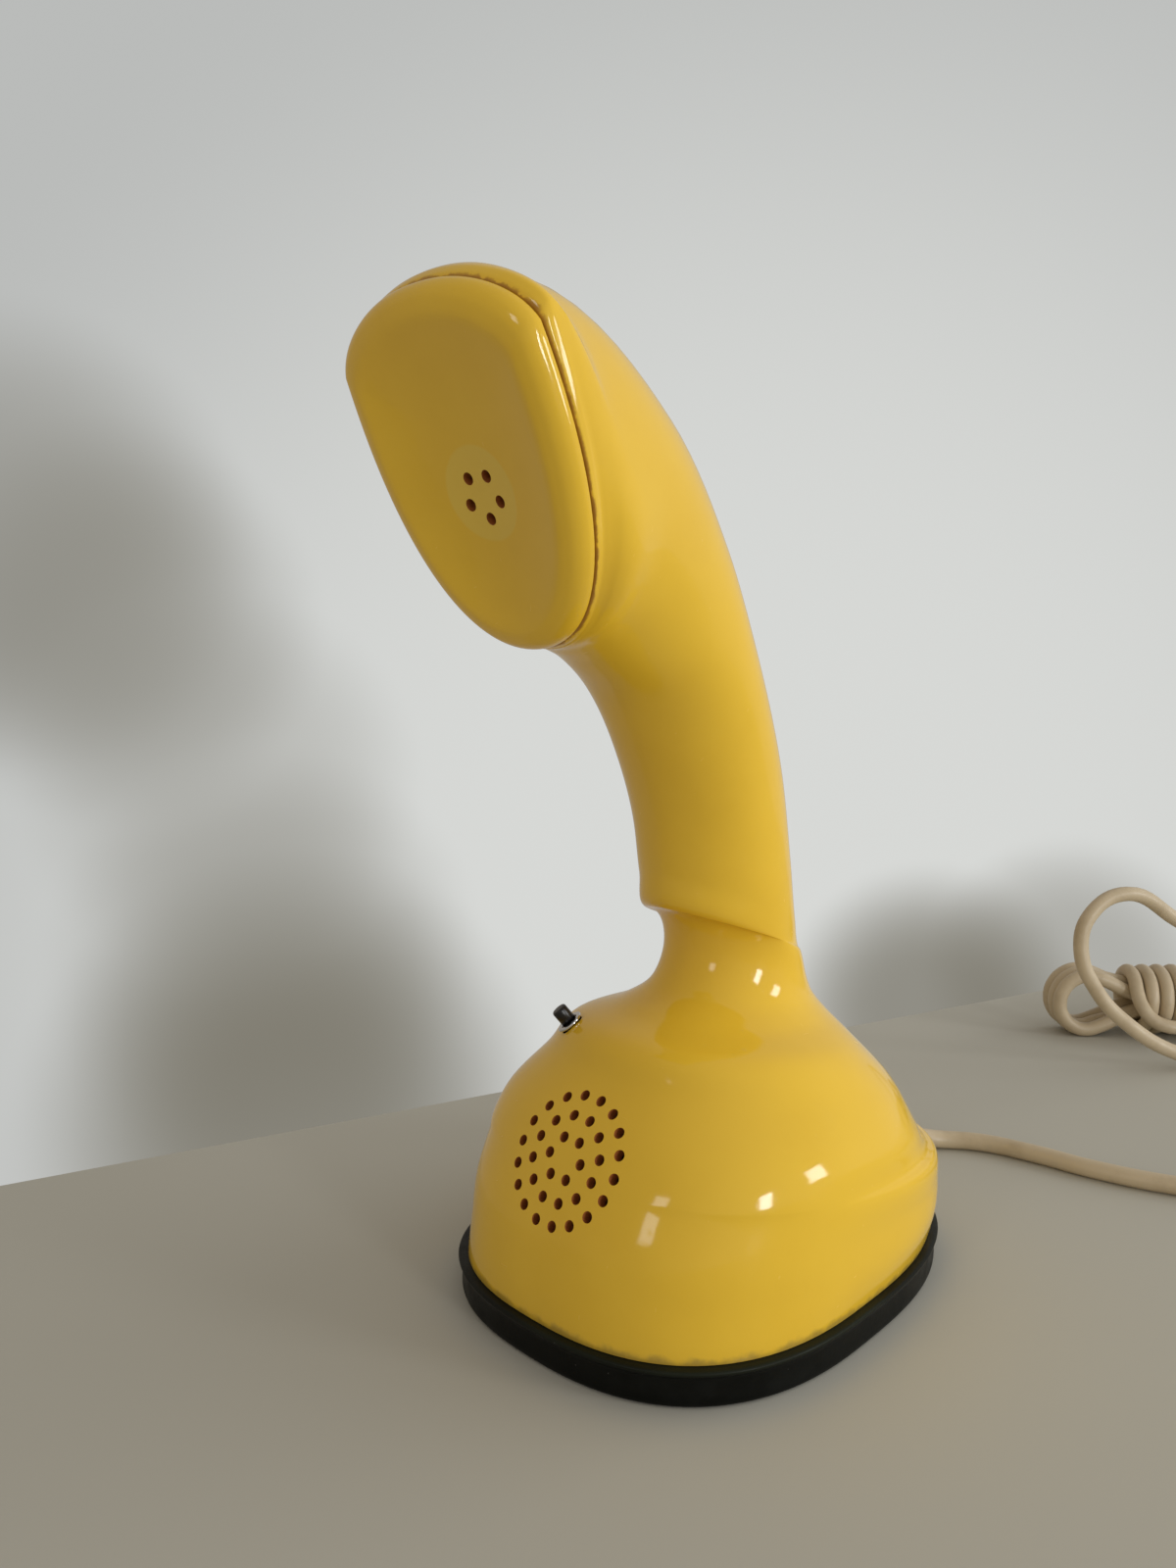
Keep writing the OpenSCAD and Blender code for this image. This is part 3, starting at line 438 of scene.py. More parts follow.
def drill_bit(bm, foot, head, radius, sides=28):
    """A cylinder from foot to head."""
    axis = head - foot
    made = bmesh.ops.create_cone(bm, cap_ends=True, segments=sides, radius1=radius, radius2=radius,
                                 depth=axis.length)["verts"]
    turn = axis.to_track_quat("Z", "Y").to_matrix()
    bmesh.ops.rotate(bm, verts=made, cent=(0, 0, 0), matrix=turn)
    bmesh.ops.translate(bm, verts=made, vec=(foot + head) / 2)


def cut(piece, cutter, walls=1):
    """Takes the cutter's volume out of the piece; the cut faces get the material numbered walls."""
    mesh = bpy.data.meshes.new("cutter")
    for face in cutter.faces:
        face.material_index = walls
    cutter.to_mesh(mesh)
    cutter.free()
    for data in (mesh, piece.data):
        while len(data.materials) <= walls:
            data.materials.append(None)
    tool = bpy.data.objects.new("cutter", mesh)
    bpy.context.scene.collection.objects.link(tool)
    boolean = piece.modifiers.new("holes", "BOOLEAN")
    boolean.operation, boolean.solver, boolean.object = "DIFFERENCE", "EXACT", tool
    bpy.context.view_layer.update()
    done = bpy.data.meshes.new_from_object(piece.evaluated_get(bpy.context.evaluated_depsgraph_get()))
    piece.modifiers.clear()
    old, piece.data = piece.data, done
    done.set_sharp_from_angle(angle=math.radians(SOFT_UP_TO))
    bpy.data.meshes.remove(old)
    bpy.data.objects.remove(tool)
    done.name = piece.name
    print(piece.name, "after the cut:", len(done.polygons))


# %% Holes of the mouthpiece, the push button and the cord
RING_STEP, VOICE_HOLE_R = 5, mm(1.3)
DEEP, CORD_Z = 9, 17
cutter = bmesh.new()
for number in (1, 2, 3):
    for k in range(6 * number):
        turn = math.radians(60 * (k + .5) / number)
        x, y = -RING_STEP * number * math.sin(turn), RING_STEP * number * math.cos(turn)
        drill_bit(cutter, on_grille(x, y, -DEEP), on_grille(x, y, DEEP), VOICE_HOLE_R)
PUSH_P, PUSH_ANGLE = 6.9, math.radians(-34)
push_out = outward(PUSH_P, PUSH_ANGLE)
push_foot = spot(section(PUSH_P), PUSH_ANGLE)


def on_push(out):
    return place(*(push_foot + push_out * out))


drill_bit(cutter, on_push(-12), on_push(12), mm(3.1), 48)
drill_bit(cutter, place(0, 52, CORD_Z), place(0, 76, CORD_Z), mm(4.65), 48)
cut(shell, cutter)

# %% [markdown]
# The ear cap is a shallow dish with a soft rim that stands on the shell's mouth. Its profile is a short
# list of how far in and how far out, and a smooth line through it gives the rings.

# %% The ear cap
SPIGOT, CAP_H, DISH = WALL + .3, 5.5, 3.5


def lifted(points, height):
    return [point + Vector((0, CAP_OUT[0], CAP_OUT[1])) * height for point in points]


rim = [(.9, .05), (.4, .35), (.2, .85), (.35, 2.1), (1.1, 3.5), (2.4, 4.65), (4.0, 5.25), (5.4, 5.48),
       (6.6, 5.35)]
DISH_MIDDLE, DISH_REACH = 29, 22.4  # how far in the dish is deepest, and from there to the rim
profile = [(w, CAP_H - DISH + (DISH - .15) * ((DISH_MIDDLE - w) / DISH_REACH) ** 2)
           for w in (27.5, 25, 22, 19, 16, 13.5, 11.5, 9.5, 8)]
profile += smooth_line(rim[::-1], 5)
profile += [(SPIGOT, .05), (SPIGOT, -5), (SPIGOT + 2, -5), (SPIGOT + 2, -.4), (20, -.4), (27.5, -.4)]
cap_rings = placed([lifted(ring(stations[LAST], w), h) for w, h in profile])
cap = finished(grow_skin(cap_rings), "ear_cap_dished", "telephone")
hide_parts("ear_cap")
EAR_RING, EAR_HOLE_R = 4.8, mm(1.35)
cutter = bmesh.new()
for k in range(5):
    turn = math.radians(180 + 72 * k)
    x, y = -EAR_RING * math.sin(turn), EAR_RING * math.cos(turn)
    drill_bit(cutter, on_cap(x, y, -DEEP), on_cap(x, y, DEEP), EAR_HOLE_R)
cut(cap, cutter)

# %% [markdown]
# The foot is a rubber moulding pressed round the rim. Its lip flares out a little under the shell, where
# dust gathers, and it is rounded where it meets the table.

# %% The foot ring
foot_profile = smooth_line([(.5, 0), (-.4, .2), (-1.1, .7), (-1.4, 1.8), (-1.3, 4.5), (-1.3, 6.6)], 4)
foot_profile += smooth_line([(-1.5, 7.3), (-2.0, 7.9), (-2.2, 8.5), (-1.9, 8.95), (-1.2, 9.1)], 4)
foot_profile += [(.2, 9), (6.6, 9), (7, 8.6), (7, 0)]
foot_rings = placed([[(x, y, h) for x, y, z in ring(stations[0], w)] for w, h in foot_profile])
foot = finished(grow_skin(foot_rings, closed=True), "rubber_foot", "telephone", 40)
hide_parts("foot_ring")

# %% [markdown]
# The push button at the top left is a slim cap in a thin ring nut. Both are turned: a profile of radius
# and height goes once round the button's own axis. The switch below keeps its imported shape, but its bush
# ends lower, inside the thinner nut, so that the cap still has its travel.


# %% Push button and ring nut
def turned(profile, steps, axis_at):
    """A full turn of a profile of (radius, height), set on the axis that axis_at describes."""
    bm = bmesh.new()
    row = [bm.verts.new((radius, 0, height)) for radius, height in profile]
    edges = [bm.edges.new(pair) for pair in zip(row, row[1:])]
    bmesh.ops.spin(bm, geom=row + edges, cent=(0, 0, 0), axis=(0, 0, 1), angle=math.tau, steps=steps,
                   use_merge=True)
    bmesh.ops.remove_doubles(bm, verts=bm.verts, dist=1e-4)
    bmesh.ops.scale(bm, verts=bm.verts, vec=(.001, .001, .001))
    bmesh.ops.transform(bm, verts=bm.verts, matrix=axis_at)
    bmesh.ops.recalc_face_normals(bm, faces=bm.faces)
    return bm


push_axis = Matrix.Translation(on_push(0)) @ push_out.to_track_quat("Z", "Y").to_matrix().to_4x4()
nut_profile = smooth_line([(2.3, .1), (3.2, .1), (3.45, .3), (3.45, .6), (3.25, .8), (2.5, .85),
                           (2.3, .65)], 2)
nut_profile += nut_profile[:1]
nut = finished(turned(nut_profile, 48, push_axis), "recall_ring_nut", "telephone")
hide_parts("recall_nut")
push_profile = [(0, -7.5), (1.6, -7.5), (1.6, .2), (1.95, .5), (1.98, 4.4), (1.93, 4.7), (1.75, 4.92),
                (1.2, 4.98), (0, 5)]
push = finished(turned(push_profile, 32, push_axis), "recall_push_cap", "recall_push", 50)
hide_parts("recall_button")

# %% The switch with a lower bush
BUSH_TOP = mm(-1.2)
bm = bmesh.new()
bm.from_mesh(nodes["recall_switch"].data)
bmesh.ops.remove_doubles(bm, verts=bm.verts, dist=1e-6)
for v in bm.verts:
    height = (v.co - on_push(0)).dot(push_out)
    if height > BUSH_TOP:
        v.co -= push_out * (height - BUSH_TOP)
switch = finished(bm, "recall_switch_low_bush", "telephone", 40)
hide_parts("recall_switch")

# %% [markdown]
# The dial sits underneath. The finger wheel is turned like the nut, and its ten holes are cut with
# cutters that are turned too: their flared ends leave the rounded edges that a finger feels. The red
# button in its middle is one more turned piece.

# %% Finger wheel and line button
DIAL_Y, FINGER_RING, FINGER_R = 2, 28.5, 6.6
digit_turns = [math.radians(-120 - 30 * k) for k in range(10)]


def at_finger(turn, z):
    """The middle of the finger hole that lies at this turn, at height z."""
    return Matrix.Translation(place(FINGER_RING * math.cos(turn), DIAL_Y + FINGER_RING * math.sin(turn), z))


dial_axis = Matrix.Translation(place(0, DIAL_Y, 0))
wheel_profile = smooth_line([(12.3, 2.2), (12.4, 1.5), (12.9, 1.2), (13.6, 1.2)], 2)[:-1]
wheel_profile += [(14, 1.2), (36.5, 1.2)]
wheel_profile += smooth_line([(36.9, 1.22), (37.35, 1.45), (37.5, 1.9), (37.5, 2.6)], 2)
wheel_profile += [(37.5, 3.9), (37.4, 4), (14.3, 4), (14.3, 10.5), (5, 10.5), (5, 8.7), (12.3, 8.7)]
wheel_profile += wheel_profile[:1]
wheel = finished(turned(wheel_profile, 128, dial_axis), "finger_wheel_rounded", "dial", 40)
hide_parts("finger_wheel")

# %% The ten finger holes
hole = [(0, .6), (FINGER_R + 1, .6), (FINGER_R + .85, 1.12), (FINGER_R + .4, 1.3), (FINGER_R + .1, 1.65),
        (FINGER_R, 2.1), (FINGER_R, 3.4), (FINGER_R + .15, 3.8), (FINGER_R + .5, 4.1), (FINGER_R + .5, 4.6),
        (0, 4.6)]
cutter = bmesh.new()
for turn in digit_turns:
    one = turned(hole, 40, at_finger(turn, 0))
    mesh = bpy.data.meshes.new("hole")
    one.to_mesh(mesh)
    one.free()
    cutter.from_mesh(mesh)
    bpy.data.meshes.remove(mesh)
cut(wheel, cutter, 0)

# %% The line button
knob_profile = [(0, 1.2), (4, 1.05)] + smooth_line([(8, .6), (10.4, .32), (11.5, .5), (12, 1.1), (12, 2)], 3)
knob_profile += [(12, 7.8), (0, 7.8)]
knob = finished(turned(knob_profile, 64, dial_axis), "line_button_cap", "line_button", 40)
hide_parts("hook_button")

# %% [markdown]
# The digits are plain, generic numbers printed on the ivory ring, and show through the finger holes. Text
# is the natural tool. Each one is made a mesh at once and placed in its mesh, facing down.

# %% Digits on the ring
DIGIT_SIZE, INK, DIGIT_Z = mm(8), mm(.04), 5.35
digits = bmesh.new()
for digit, turn in zip("1234567890", digit_turns):
    text = bpy.data.curves.new("digit", "FONT")
    text.body, text.size, text.extrude = digit, DIGIT_SIZE, INK
    text.align_x, text.align_y = "CENTER", "CENTER"
    holder = bpy.data.objects.new("digit", text)
    bpy.context.scene.collection.objects.link(holder)
    bpy.context.view_layer.update()
    mesh = bpy.data.meshes.new_from_object(holder.evaluated_get(bpy.context.evaluated_depsgraph_get()))
    mesh.transform(at_finger(turn, DIGIT_Z) @ Matrix.Rotation(math.pi, 4, "Y"))
    digits.from_mesh(mesh)
    bpy.data.objects.remove(holder)
    bpy.data.curves.remove(text)
    bpy.data.meshes.remove(mesh)
digits = finished(digits, "dial_digits", "telephone", 50)

# %% [markdown]
# The plug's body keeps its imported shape. Only its long edges get a radius, as a moulded plug has. It goes
# with the cord, as its pins and the strain relief do.

# %% Plug with soft edges
bm = bmesh.new()
bm.from_mesh(nodes["plug_body"].data)
bmesh.ops.remove_doubles(bm, verts=bm.verts, dist=1e-6)
bmesh.ops.dissolve_limit(bm, angle_limit=math.radians(1), verts=bm.verts, edges=bm.edges)
LONG_EDGE, PLUG_R = mm(12), mm(2.2)
long_edges = [e for e in bm.edges if e.calc_length() > LONG_EDGE and e.calc_face_angle(0) > .5]
bmesh.ops.bevel(bm, geom=long_edges, offset=PLUG_R, segments=5, profile=.5, affect="EDGES", material=-1)
print("plug edges rounded:", len(long_edges))
plug = finished(bm, "plug_rounded", "telephone", 40)
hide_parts("plug_body")

# %% [markdown]
# Everything that shows gets its own finish. The plastic is one colour all through, so its looks come from
# gloss, a faint waviness of the mould, fine scratches, and the film of dirt that hands and years leave.
# Effects that several finishes share are small node groups, built once.

# %% Building node trees
def add(tree, kind, at=(0, 0), second=None, **values):
    """A node, with its sockets or properties set by name; second sets the second socket of a maths node."""
    node = tree.nodes.new(kind)
    node.location = at
    for key, value in values.items():
        name = key.replace("_", " ")
        if name in node.inputs:
            node.inputs[name].default_value = value
        else:
            setattr(node, key, value)
    if second is not None:
        node.inputs[1].default_value = second
    return node


def wire(tree, *pairs):
    """Links each pair, from an output to an input."""
    for a, b in pairs:
        tree.links.new(a, b)


def new_material(name, **values):
    """A material with a Principled shader, and its constant values set on the sockets."""
    material = bpy.data.materials.new(name)
    material.use_nodes = True
    shader = material.node_tree.nodes["Principled BSDF"]
    for key, value in values.items():
        shader.inputs[key.replace("_", " ")].default_value = value
    return material, material.node_tree, shader


def new_effect(name, **inputs):
    """A group that puts out a mask: the group, its inputs, its Object coordinates and its output socket."""
    group = bpy.data.node_groups.new(name, "ShaderNodeTree")
    for key, value in inputs.items():
        kind = "NodeSocketFloat" if isinstance(value, (int, float)) else "NodeSocketVector"
        group.interface.new_socket(name=key, in_out="INPUT", socket_type=kind).default_value = value
    group.interface.new_socket(name="Mask", in_out="OUTPUT", socket_type="NodeSocketFloat")
    inside = add(group, "NodeGroupInput", (-1200, -200))
    where = add(group, "ShaderNodeTexCoord", (-1200, 0))
    out = add(group, "NodeGroupOutput", (300, 0))
    print("effect:", name, list(inputs))
    return group, inside.outputs, where.outputs["Object"], out.inputs["Mask"]


def colour(hex_value):
    """A linear colour from a web value."""
    levels = [int(hex_value[k:k + 2], 16) / 255 for k in (0, 2, 4)]
    return tuple(c / 12.92 if c <= .04045 else ((c + .055) / 1.055) ** 2.4 for c in levels) + (1,)


# %% Shared effect: cloudy patches
patches, given, where, mask = new_effect("cloudy_patches", Scale=60, Low=.45, High=.7)
cloud = add(patches, "ShaderNodeTexNoise", (-450, 0), Detail=6, Roughness=.6)
edge = add(patches, "ShaderNodeMapRange", (-200, 0), interpolation_type="SMOOTHSTEP")
wire(patches, (where, cloud.inputs["Vector"]), (given["Scale"], cloud.inputs["Scale"]),
     (cloud.outputs["Fac"], edge.inputs["Value"]), (given["Low"], edge.inputs["From Min"]),
     (given["High"], edge.inputs["From Max"]), (edge.outputs["Result"], mask))

# %% Shared effect: dirt in the cap's groove, by the distance from the seam's plane
groove, _, where, mask = new_effect("groove_dirt")
to_plane = add(groove, "ShaderNodeVectorMath", (-700, 0), operation="SUBTRACT", second=place(0, *CAP_LOW))
height = add(groove, "ShaderNodeVectorMath", (-500, 0), operation="DOT_PRODUCT", second=(0, *CAP_OUT))
off = add(groove, "ShaderNodeMath", (-350, 0), operation="ABSOLUTE")
ragged = add(groove, "ShaderNodeTexNoise", (-500, -200), Scale=420, Detail=5)
reach = add(groove, "ShaderNodeMapRange", (-350, -200), From_Min=.35, From_Max=.75, To_Min=mm(.15),
            To_Max=mm(1))
near = add(groove, "ShaderNodeMath", (-180, 0), operation="DIVIDE")
fade = add(groove, "ShaderNodeMapRange", (-20, 0), interpolation_type="SMOOTHSTEP", From_Min=1.2,
           From_Max=.15)
parts = add(groove, "ShaderNodeSeparateXYZ", (-700, -400))
high = add(groove, "ShaderNodeMath", (-350, -400), operation="GREATER_THAN", second=.15)
both = add(groove, "ShaderNodeMath", (150, 0), operation="MULTIPLY")
wire(groove, (where, to_plane.inputs[0]), (to_plane.outputs[0], height.inputs[0]),
     (height.outputs["Value"], off.inputs[0]), (where, ragged.inputs["Vector"]),
     (ragged.outputs["Fac"], reach.inputs["Value"]), (off.outputs[0], near.inputs[0]),
     (reach.outputs["Result"], near.inputs[1]), (near.outputs[0], fade.inputs["Value"]),
     (where, parts.inputs[0]), (parts.outputs["Z"], high.inputs[0]), (fade.outputs["Result"], both.inputs[0]),
     (high.outputs[0], both.inputs[1]), (both.outputs[0], mask))

# %% Shared effect: dirt that gathers from the foot up
low_dirt, given, where, mask = new_effect("low_dirt", From=.009, To=.011)
parts = add(low_dirt, "ShaderNodeSeparateXYZ", (-700, 0))
ragged = add(low_dirt, "ShaderNodeTexNoise", (-700, 200), Scale=260, Detail=6)
shift = add(low_dirt, "ShaderNodeMath", (-500, 200), operation="MULTIPLY_ADD", second=mm(-3.6))
lift = add(low_dirt, "ShaderNodeMath", (-350, 100), operation="ADD", second=mm(1.8))
fade = add(low_dirt, "ShaderNodeMapRange", (-150, 0), interpolation_type="SMOOTHSTEP", To_Min=1, To_Max=0)
wire(low_dirt, (where, parts.inputs[0]), (where, ragged.inputs["Vector"]),
     (ragged.outputs["Fac"], shift.inputs[0]), (parts.outputs["Z"], shift.inputs[2]),
     (shift.outputs[0], lift.inputs[0]), (lift.outputs[0], fade.inputs["Value"]),
     (given["From"], fade.inputs["From Min"]), (given["To"], fade.inputs["From Max"]),
     (fade.outputs["Result"], mask))

# %% Shared effect: a disc by the distance from a place
disc, given, where, mask = new_effect("near_place", Place=(0, 0, 0), Radius=.01)
away = add(disc, "ShaderNodeVectorMath", (-400, 0), operation="DISTANCE")
past = add(disc, "ShaderNodeMath", (-200, 0), operation="DIVIDE")
fade = add(disc, "ShaderNodeMapRange", (0, 0), interpolation_type="SMOOTHSTEP", From_Min=1.03, From_Max=.95)
wire(disc, (where, away.inputs[0]), (given["Place"], away.inputs[1]), (away.outputs["Value"], past.inputs[0]),
     (given["Radius"], past.inputs[1]), (past.outputs[0], fade.inputs["Value"]),
     (fade.outputs["Result"], mask))

# %% Shared effect: fine scratches in two directions
scratches, _, where, mask = new_effect("fine_scratches")
most = add(scratches, "ShaderNodeMath", (0, 0), operation="MAXIMUM")
for number, (turn, stretch) in enumerate((((20, 35, 10), (.6, 22, 9)), ((-40, 10, 60), (18, .8, 7)))):
    aim = add(scratches, "ShaderNodeMapping", (-800, -300 * number), Scale=stretch,
              Rotation=[math.radians(a) for a in turn])
    streaks = add(scratches, "ShaderNodeTexNoise", (-600, -300 * number), Scale=45, Detail=2)
    thin = add(scratches, "ShaderNodeMapRange", (-350, -300 * number), interpolation_type="SMOOTHSTEP",
               From_Min=.68, From_Max=.8)
    wire(scratches, (where, aim.inputs["Vector"]), (aim.outputs[0], streaks.inputs["Vector"]),
         (streaks.outputs["Fac"], thin.inputs["Value"]), (thin.outputs["Result"], most.inputs[number]))
wire(scratches, (most.outputs[0], mask))


# %% Short helpers for the finishes
def effect(tree, group, at, **values):
    """A shared effect's mask in this tree."""
    return add(tree, "ShaderNodeGroup", at, node_tree=group, **values).outputs["Mask"]


def tinted(tree, mask, under, over, amount=1, at=(0, 0)):
    """Lays the colour over the one under it, where the mask says so."""
    mix = add(tree, "ShaderNodeMix", at, data_type="RGBA")
    if amount != 1:
        weaker = add(tree, "ShaderNodeMath", (at[0] - 180, at[1] - 160), operation="MULTIPLY", second=amount)
        wire(tree, (mask, weaker.inputs[0]))
        mask = weaker.outputs[0]
    wire(tree, (mask, mix.inputs[0]))
    for number, value in ((6, under), (7, over)):
        if isinstance(value, bpy.types.NodeSocket):
            wire(tree, (value, mix.inputs[number]))
        else:
            mix.inputs[number].default_value = value
    return mix.outputs[2]


def ranged(tree, value, low, high, start=0, end=1, at=(0, 0)):
    """The value's range from start to end, spread from low to high."""
    spread = add(tree, "ShaderNodeMapRange", at, From_Min=start, From_Max=end, To_Min=low, To_Max=high)
    wire(tree, (value, spread.inputs["Value"]))
    return spread.outputs["Result"]


def noise(tree, scale, detail=4, at=(-900, -500), stretch=(1, 1, 1)):
    """Plain noise on the piece's own coordinates."""
    where = add(tree, "ShaderNodeTexCoord", (at[0] - 400, at[1]))
    aim = add(tree, "ShaderNodeMapping", (at[0] - 200, at[1]), Scale=stretch)
    made = add(tree, "ShaderNodeTexNoise", at, Scale=scale, Detail=detail)
    wire(tree, (where.outputs["Object"], aim.inputs["Vector"]), (aim.outputs[0], made.inputs["Vector"]))
    return made.outputs["Fac"]


def bumped(tree, shader, height, distance, strength=1):
    """Raises the surface by up to distance where the height says so."""
    bump = add(tree, "ShaderNodeBump", (-250, -400), Distance=distance, Strength=strength)
    wire(tree, (height, bump.inputs["Height"]), (bump.outputs["Normal"], shader.inputs["Normal"]))


looks = {}

# %% [markdown]
# The body's plastic is a warm yellow, glossy, with a gentle waviness that lets reflections swim a little.
# Old dirt sits in the groove round the ear cap and along the foot, and faint smudges dull the gloss.


# %% Yellow plastic of the body and the dial
YELLOW, DEEPER_YELLOW, CLEAN_YELLOW = (.84, .535, .040, 1), (.80, .50, .034, 1), (.80, .60, .11, 1)
FOOT_GRIME, GROOVE_GRIME = (.20, .14, .045, 1), (.33, .13, .018, 1)


def yellow_plastic(name, dirty):
    material, tree, shader = new_material(name, IOR=1.47)
    clouds = effect(tree, patches, (-1100, 300), Scale=26, Low=.35, High=.75)
    tone = tinted(tree, clouds, YELLOW, DEEPER_YELLOW, at=(-800, 300))
    if dirty:
        round_holes = effect(tree, disc, (-900, 850), Place=on_cap(0, .6, CAP_H - DISH), Radius=mm(10.1))
        tone = tinted(tree, round_holes, tone, CLEAN_YELLOW, .5, (-720, 500))
        over_foot = effect(tree, low_dirt, (-900, 550), From=mm(9.3), To=mm(11.2))
        tone = tinted(tree, over_foot, tone, FOOT_GRIME, .6, (-650, 300))
        tone = tinted(tree, effect(tree, groove, (-900, 700)), tone, GROOVE_GRIME, .8, (-500, 300))
    smudges = effect(tree, patches, (-1100, 0), Scale=70, Low=.5, High=.78)
    rougher = add(tree, "ShaderNodeMath", (-500, 0), operation="MULTIPLY_ADD", second=.22)
    wire(tree, (tone, shader.inputs["Base Color"]),
         (effect(tree, scratches, (-800, -200)), rougher.inputs[0]),
         (ranged(tree, smudges, .085, .17, at=(-800, 0)), rougher.inputs[2]),
         (rougher.outputs[0], shader.inputs["Roughness"]))
    bumped(tree, shader, noise(tree, 38, 1, (-700, -450)), mm(.12), .5)
    return material


looks["shell_yellow"] = yellow_plastic("shell_yellow", True)
looks["dial_yellow"] = yellow_plastic("dial_yellow", False)
# Painted shade: the hole walls get a dark red-brown that stands in for the shade deep inside the holes.
painted_hole_shade, tree, shader = new_material("painted_hole_shade", Roughness=.6)
hole_shade_colour = tinted(tree, noise(tree, 900, 3), (.30, .085, .018, 1), (.48, .15, .03, 1))
wire(tree, (hole_shade_colour, shader.inputs["Base Color"]))
print("finishes so far:", sorted(looks))

# %% [markdown]
# The foot is black rubber: half dull, finely grained, with a greenish film of dust on the lip under the
# shell and a few pale specks. The cord is soft cream plastic, a little darker where it was handled.

# %% Rubber
LIP_FROM, LIP_TO = mm(7.4), mm(8.6)
looks["foot_rubber"], tree, shader = new_material("foot_rubber", Specular_IOR_Level=.14)
dust = effect(tree, patches, (-900, 300), Scale=160, Low=.35, High=.7)
uneven = ranged(tree, noise(tree, 30, 2, (-900, 600)), .2, 1, .35, .65, (-700, 600))
where = add(tree, "ShaderNodeTexCoord", (-1100, 100))
parts = add(tree, "ShaderNodeSeparateXYZ", (-950, 100))
on_lip = add(tree, "ShaderNodeMath", (-500, 500), operation="MULTIPLY")
wire(tree, (where.outputs["Object"], parts.inputs[0]), (uneven, on_lip.inputs[1]),
     (ranged(tree, parts.outputs["Z"], 0, 1, LIP_FROM, LIP_TO, (-750, 100)), on_lip.inputs[0]))
tone = tinted(tree, dust, (.0018, .0022, .0015, 1), (.004, .0045, .0035, 1), at=(-500, 300))
tone = tinted(tree, on_lip.outputs[0], tone, (.016, .020, .010, 1), .6, (-300, 300))
specks = effect(tree, patches, (-700, 750), Scale=1400, Low=.72, High=.76)
tone = tinted(tree, specks, tone, (.35, .35, .33, 1), .7, (-150, 300))
wire(tree, (tone, shader.inputs["Base Color"]),
     (ranged(tree, dust, .36, .52, at=(-500, 0)), shader.inputs["Roughness"]))
bumped(tree, shader, noise(tree, 1100, 3), mm(.05), .6)

# %% Cord
looks["cord_cream"], tree, shader = new_material("cord_cream")
worn = effect(tree, patches, (-900, 300), Scale=90, Low=.4, High=.75)
tone = tinted(tree, worn, (.56, .46, .31, 1), (.47, .375, .24, 1), at=(-400, 300))
wire(tree, (tone, shader.inputs["Base Color"]),
     (ranged(tree, worn, .38, .55, at=(-500, 0)), shader.inputs["Roughness"]))
bumped(tree, shader, noise(tree, 700, 3), mm(.04), .5)
print("finishes so far:", sorted(looks))

# %% [markdown]
# The other finishes follow two recipes: metal with fine brushing, and plastic with a slight grain. Each
# takes a colour, a roughness and a grain. The brown board is the plastic with a coarser grain, and the
# coil's winding is the metal brushed closely round its turns.


# %% Metals, plastics and board
def two_tones(tree, worn, hex_value, darker, amount):
    """The colour, and a darker one of it where the piece is worn."""
    base = colour(hex_value)
    return tinted(tree, worn, base, tuple(c * darker for c in base[:3]) + (1,), amount, (-400, 300))


def metal(name, hex_value, rough, stretch=(1, 1, 1), scale=300, metallic=1):
    material, tree, shader = new_material(name, Metallic=metallic)
    worn = effect(tree, patches, (-900, 300), Scale=120, Low=.4, High=.8)
    brushed = noise(tree, scale, 3, stretch=stretch)
    wire(tree, (two_tones(tree, worn, hex_value, .62, .6), shader.inputs["Base Color"]),
         (ranged(tree, brushed, rough * .7, rough * 1.5, .25, .75, (-500, 0)), shader.inputs["Roughness"]))
    bumped(tree, shader, brushed, mm(.02), .4)
    return material


def plain_plastic(name, hex_value, rough, grain=500, deep=.03):
    material, tree, shader = new_material(name)
    worn = effect(tree, patches, (-900, 300), Scale=80, Low=.4, High=.8)
    wire(tree, (two_tones(tree, worn, hex_value, .8, .7), shader.inputs["Base Color"]),
         (ranged(tree, worn, rough, rough + .15, at=(-500, 0)), shader.inputs["Roughness"]))
    bumped(tree, shader, noise(tree, grain, 3), mm(deep), .5)
    return material


looks |= {
    "plate_metal": metal("plate_metal", "3A3B3D", .45, scale=500, metallic=.5),
    "plated_steel": metal("plated_steel", "B4B5B2", .3, (1, 1, 8)),
    "bright_metal": metal("bright_metal", "DADBDD", .14, (8, 1, 1)),
    "brass": metal("brass", "BE9F5C", .28, (1, 8, 1)),
    "capsule_alloy": metal("capsule_alloy", "8C8E91", .38, (6, 1, 1)),
    "winding": metal("winding", "8A4420", .38, (1, 1, 60), 120, .5),
    "dial_ivory": plain_plastic("dial_ivory", "D9D3BF", .28),
    "button_red": plain_plastic("button_red", "931610", .25),
    "black_plastic": plain_plastic("black_plastic", "0C0C0D", .28),
    "board_brown": plain_plastic("board_brown", "6A4425", .5, 900, .06),
    "lead_insulation": plain_plastic("lead_insulation", "36363A", .5),
    "plug_cream": plain_plastic("plug_cream", "CBC1A6", .4),
}

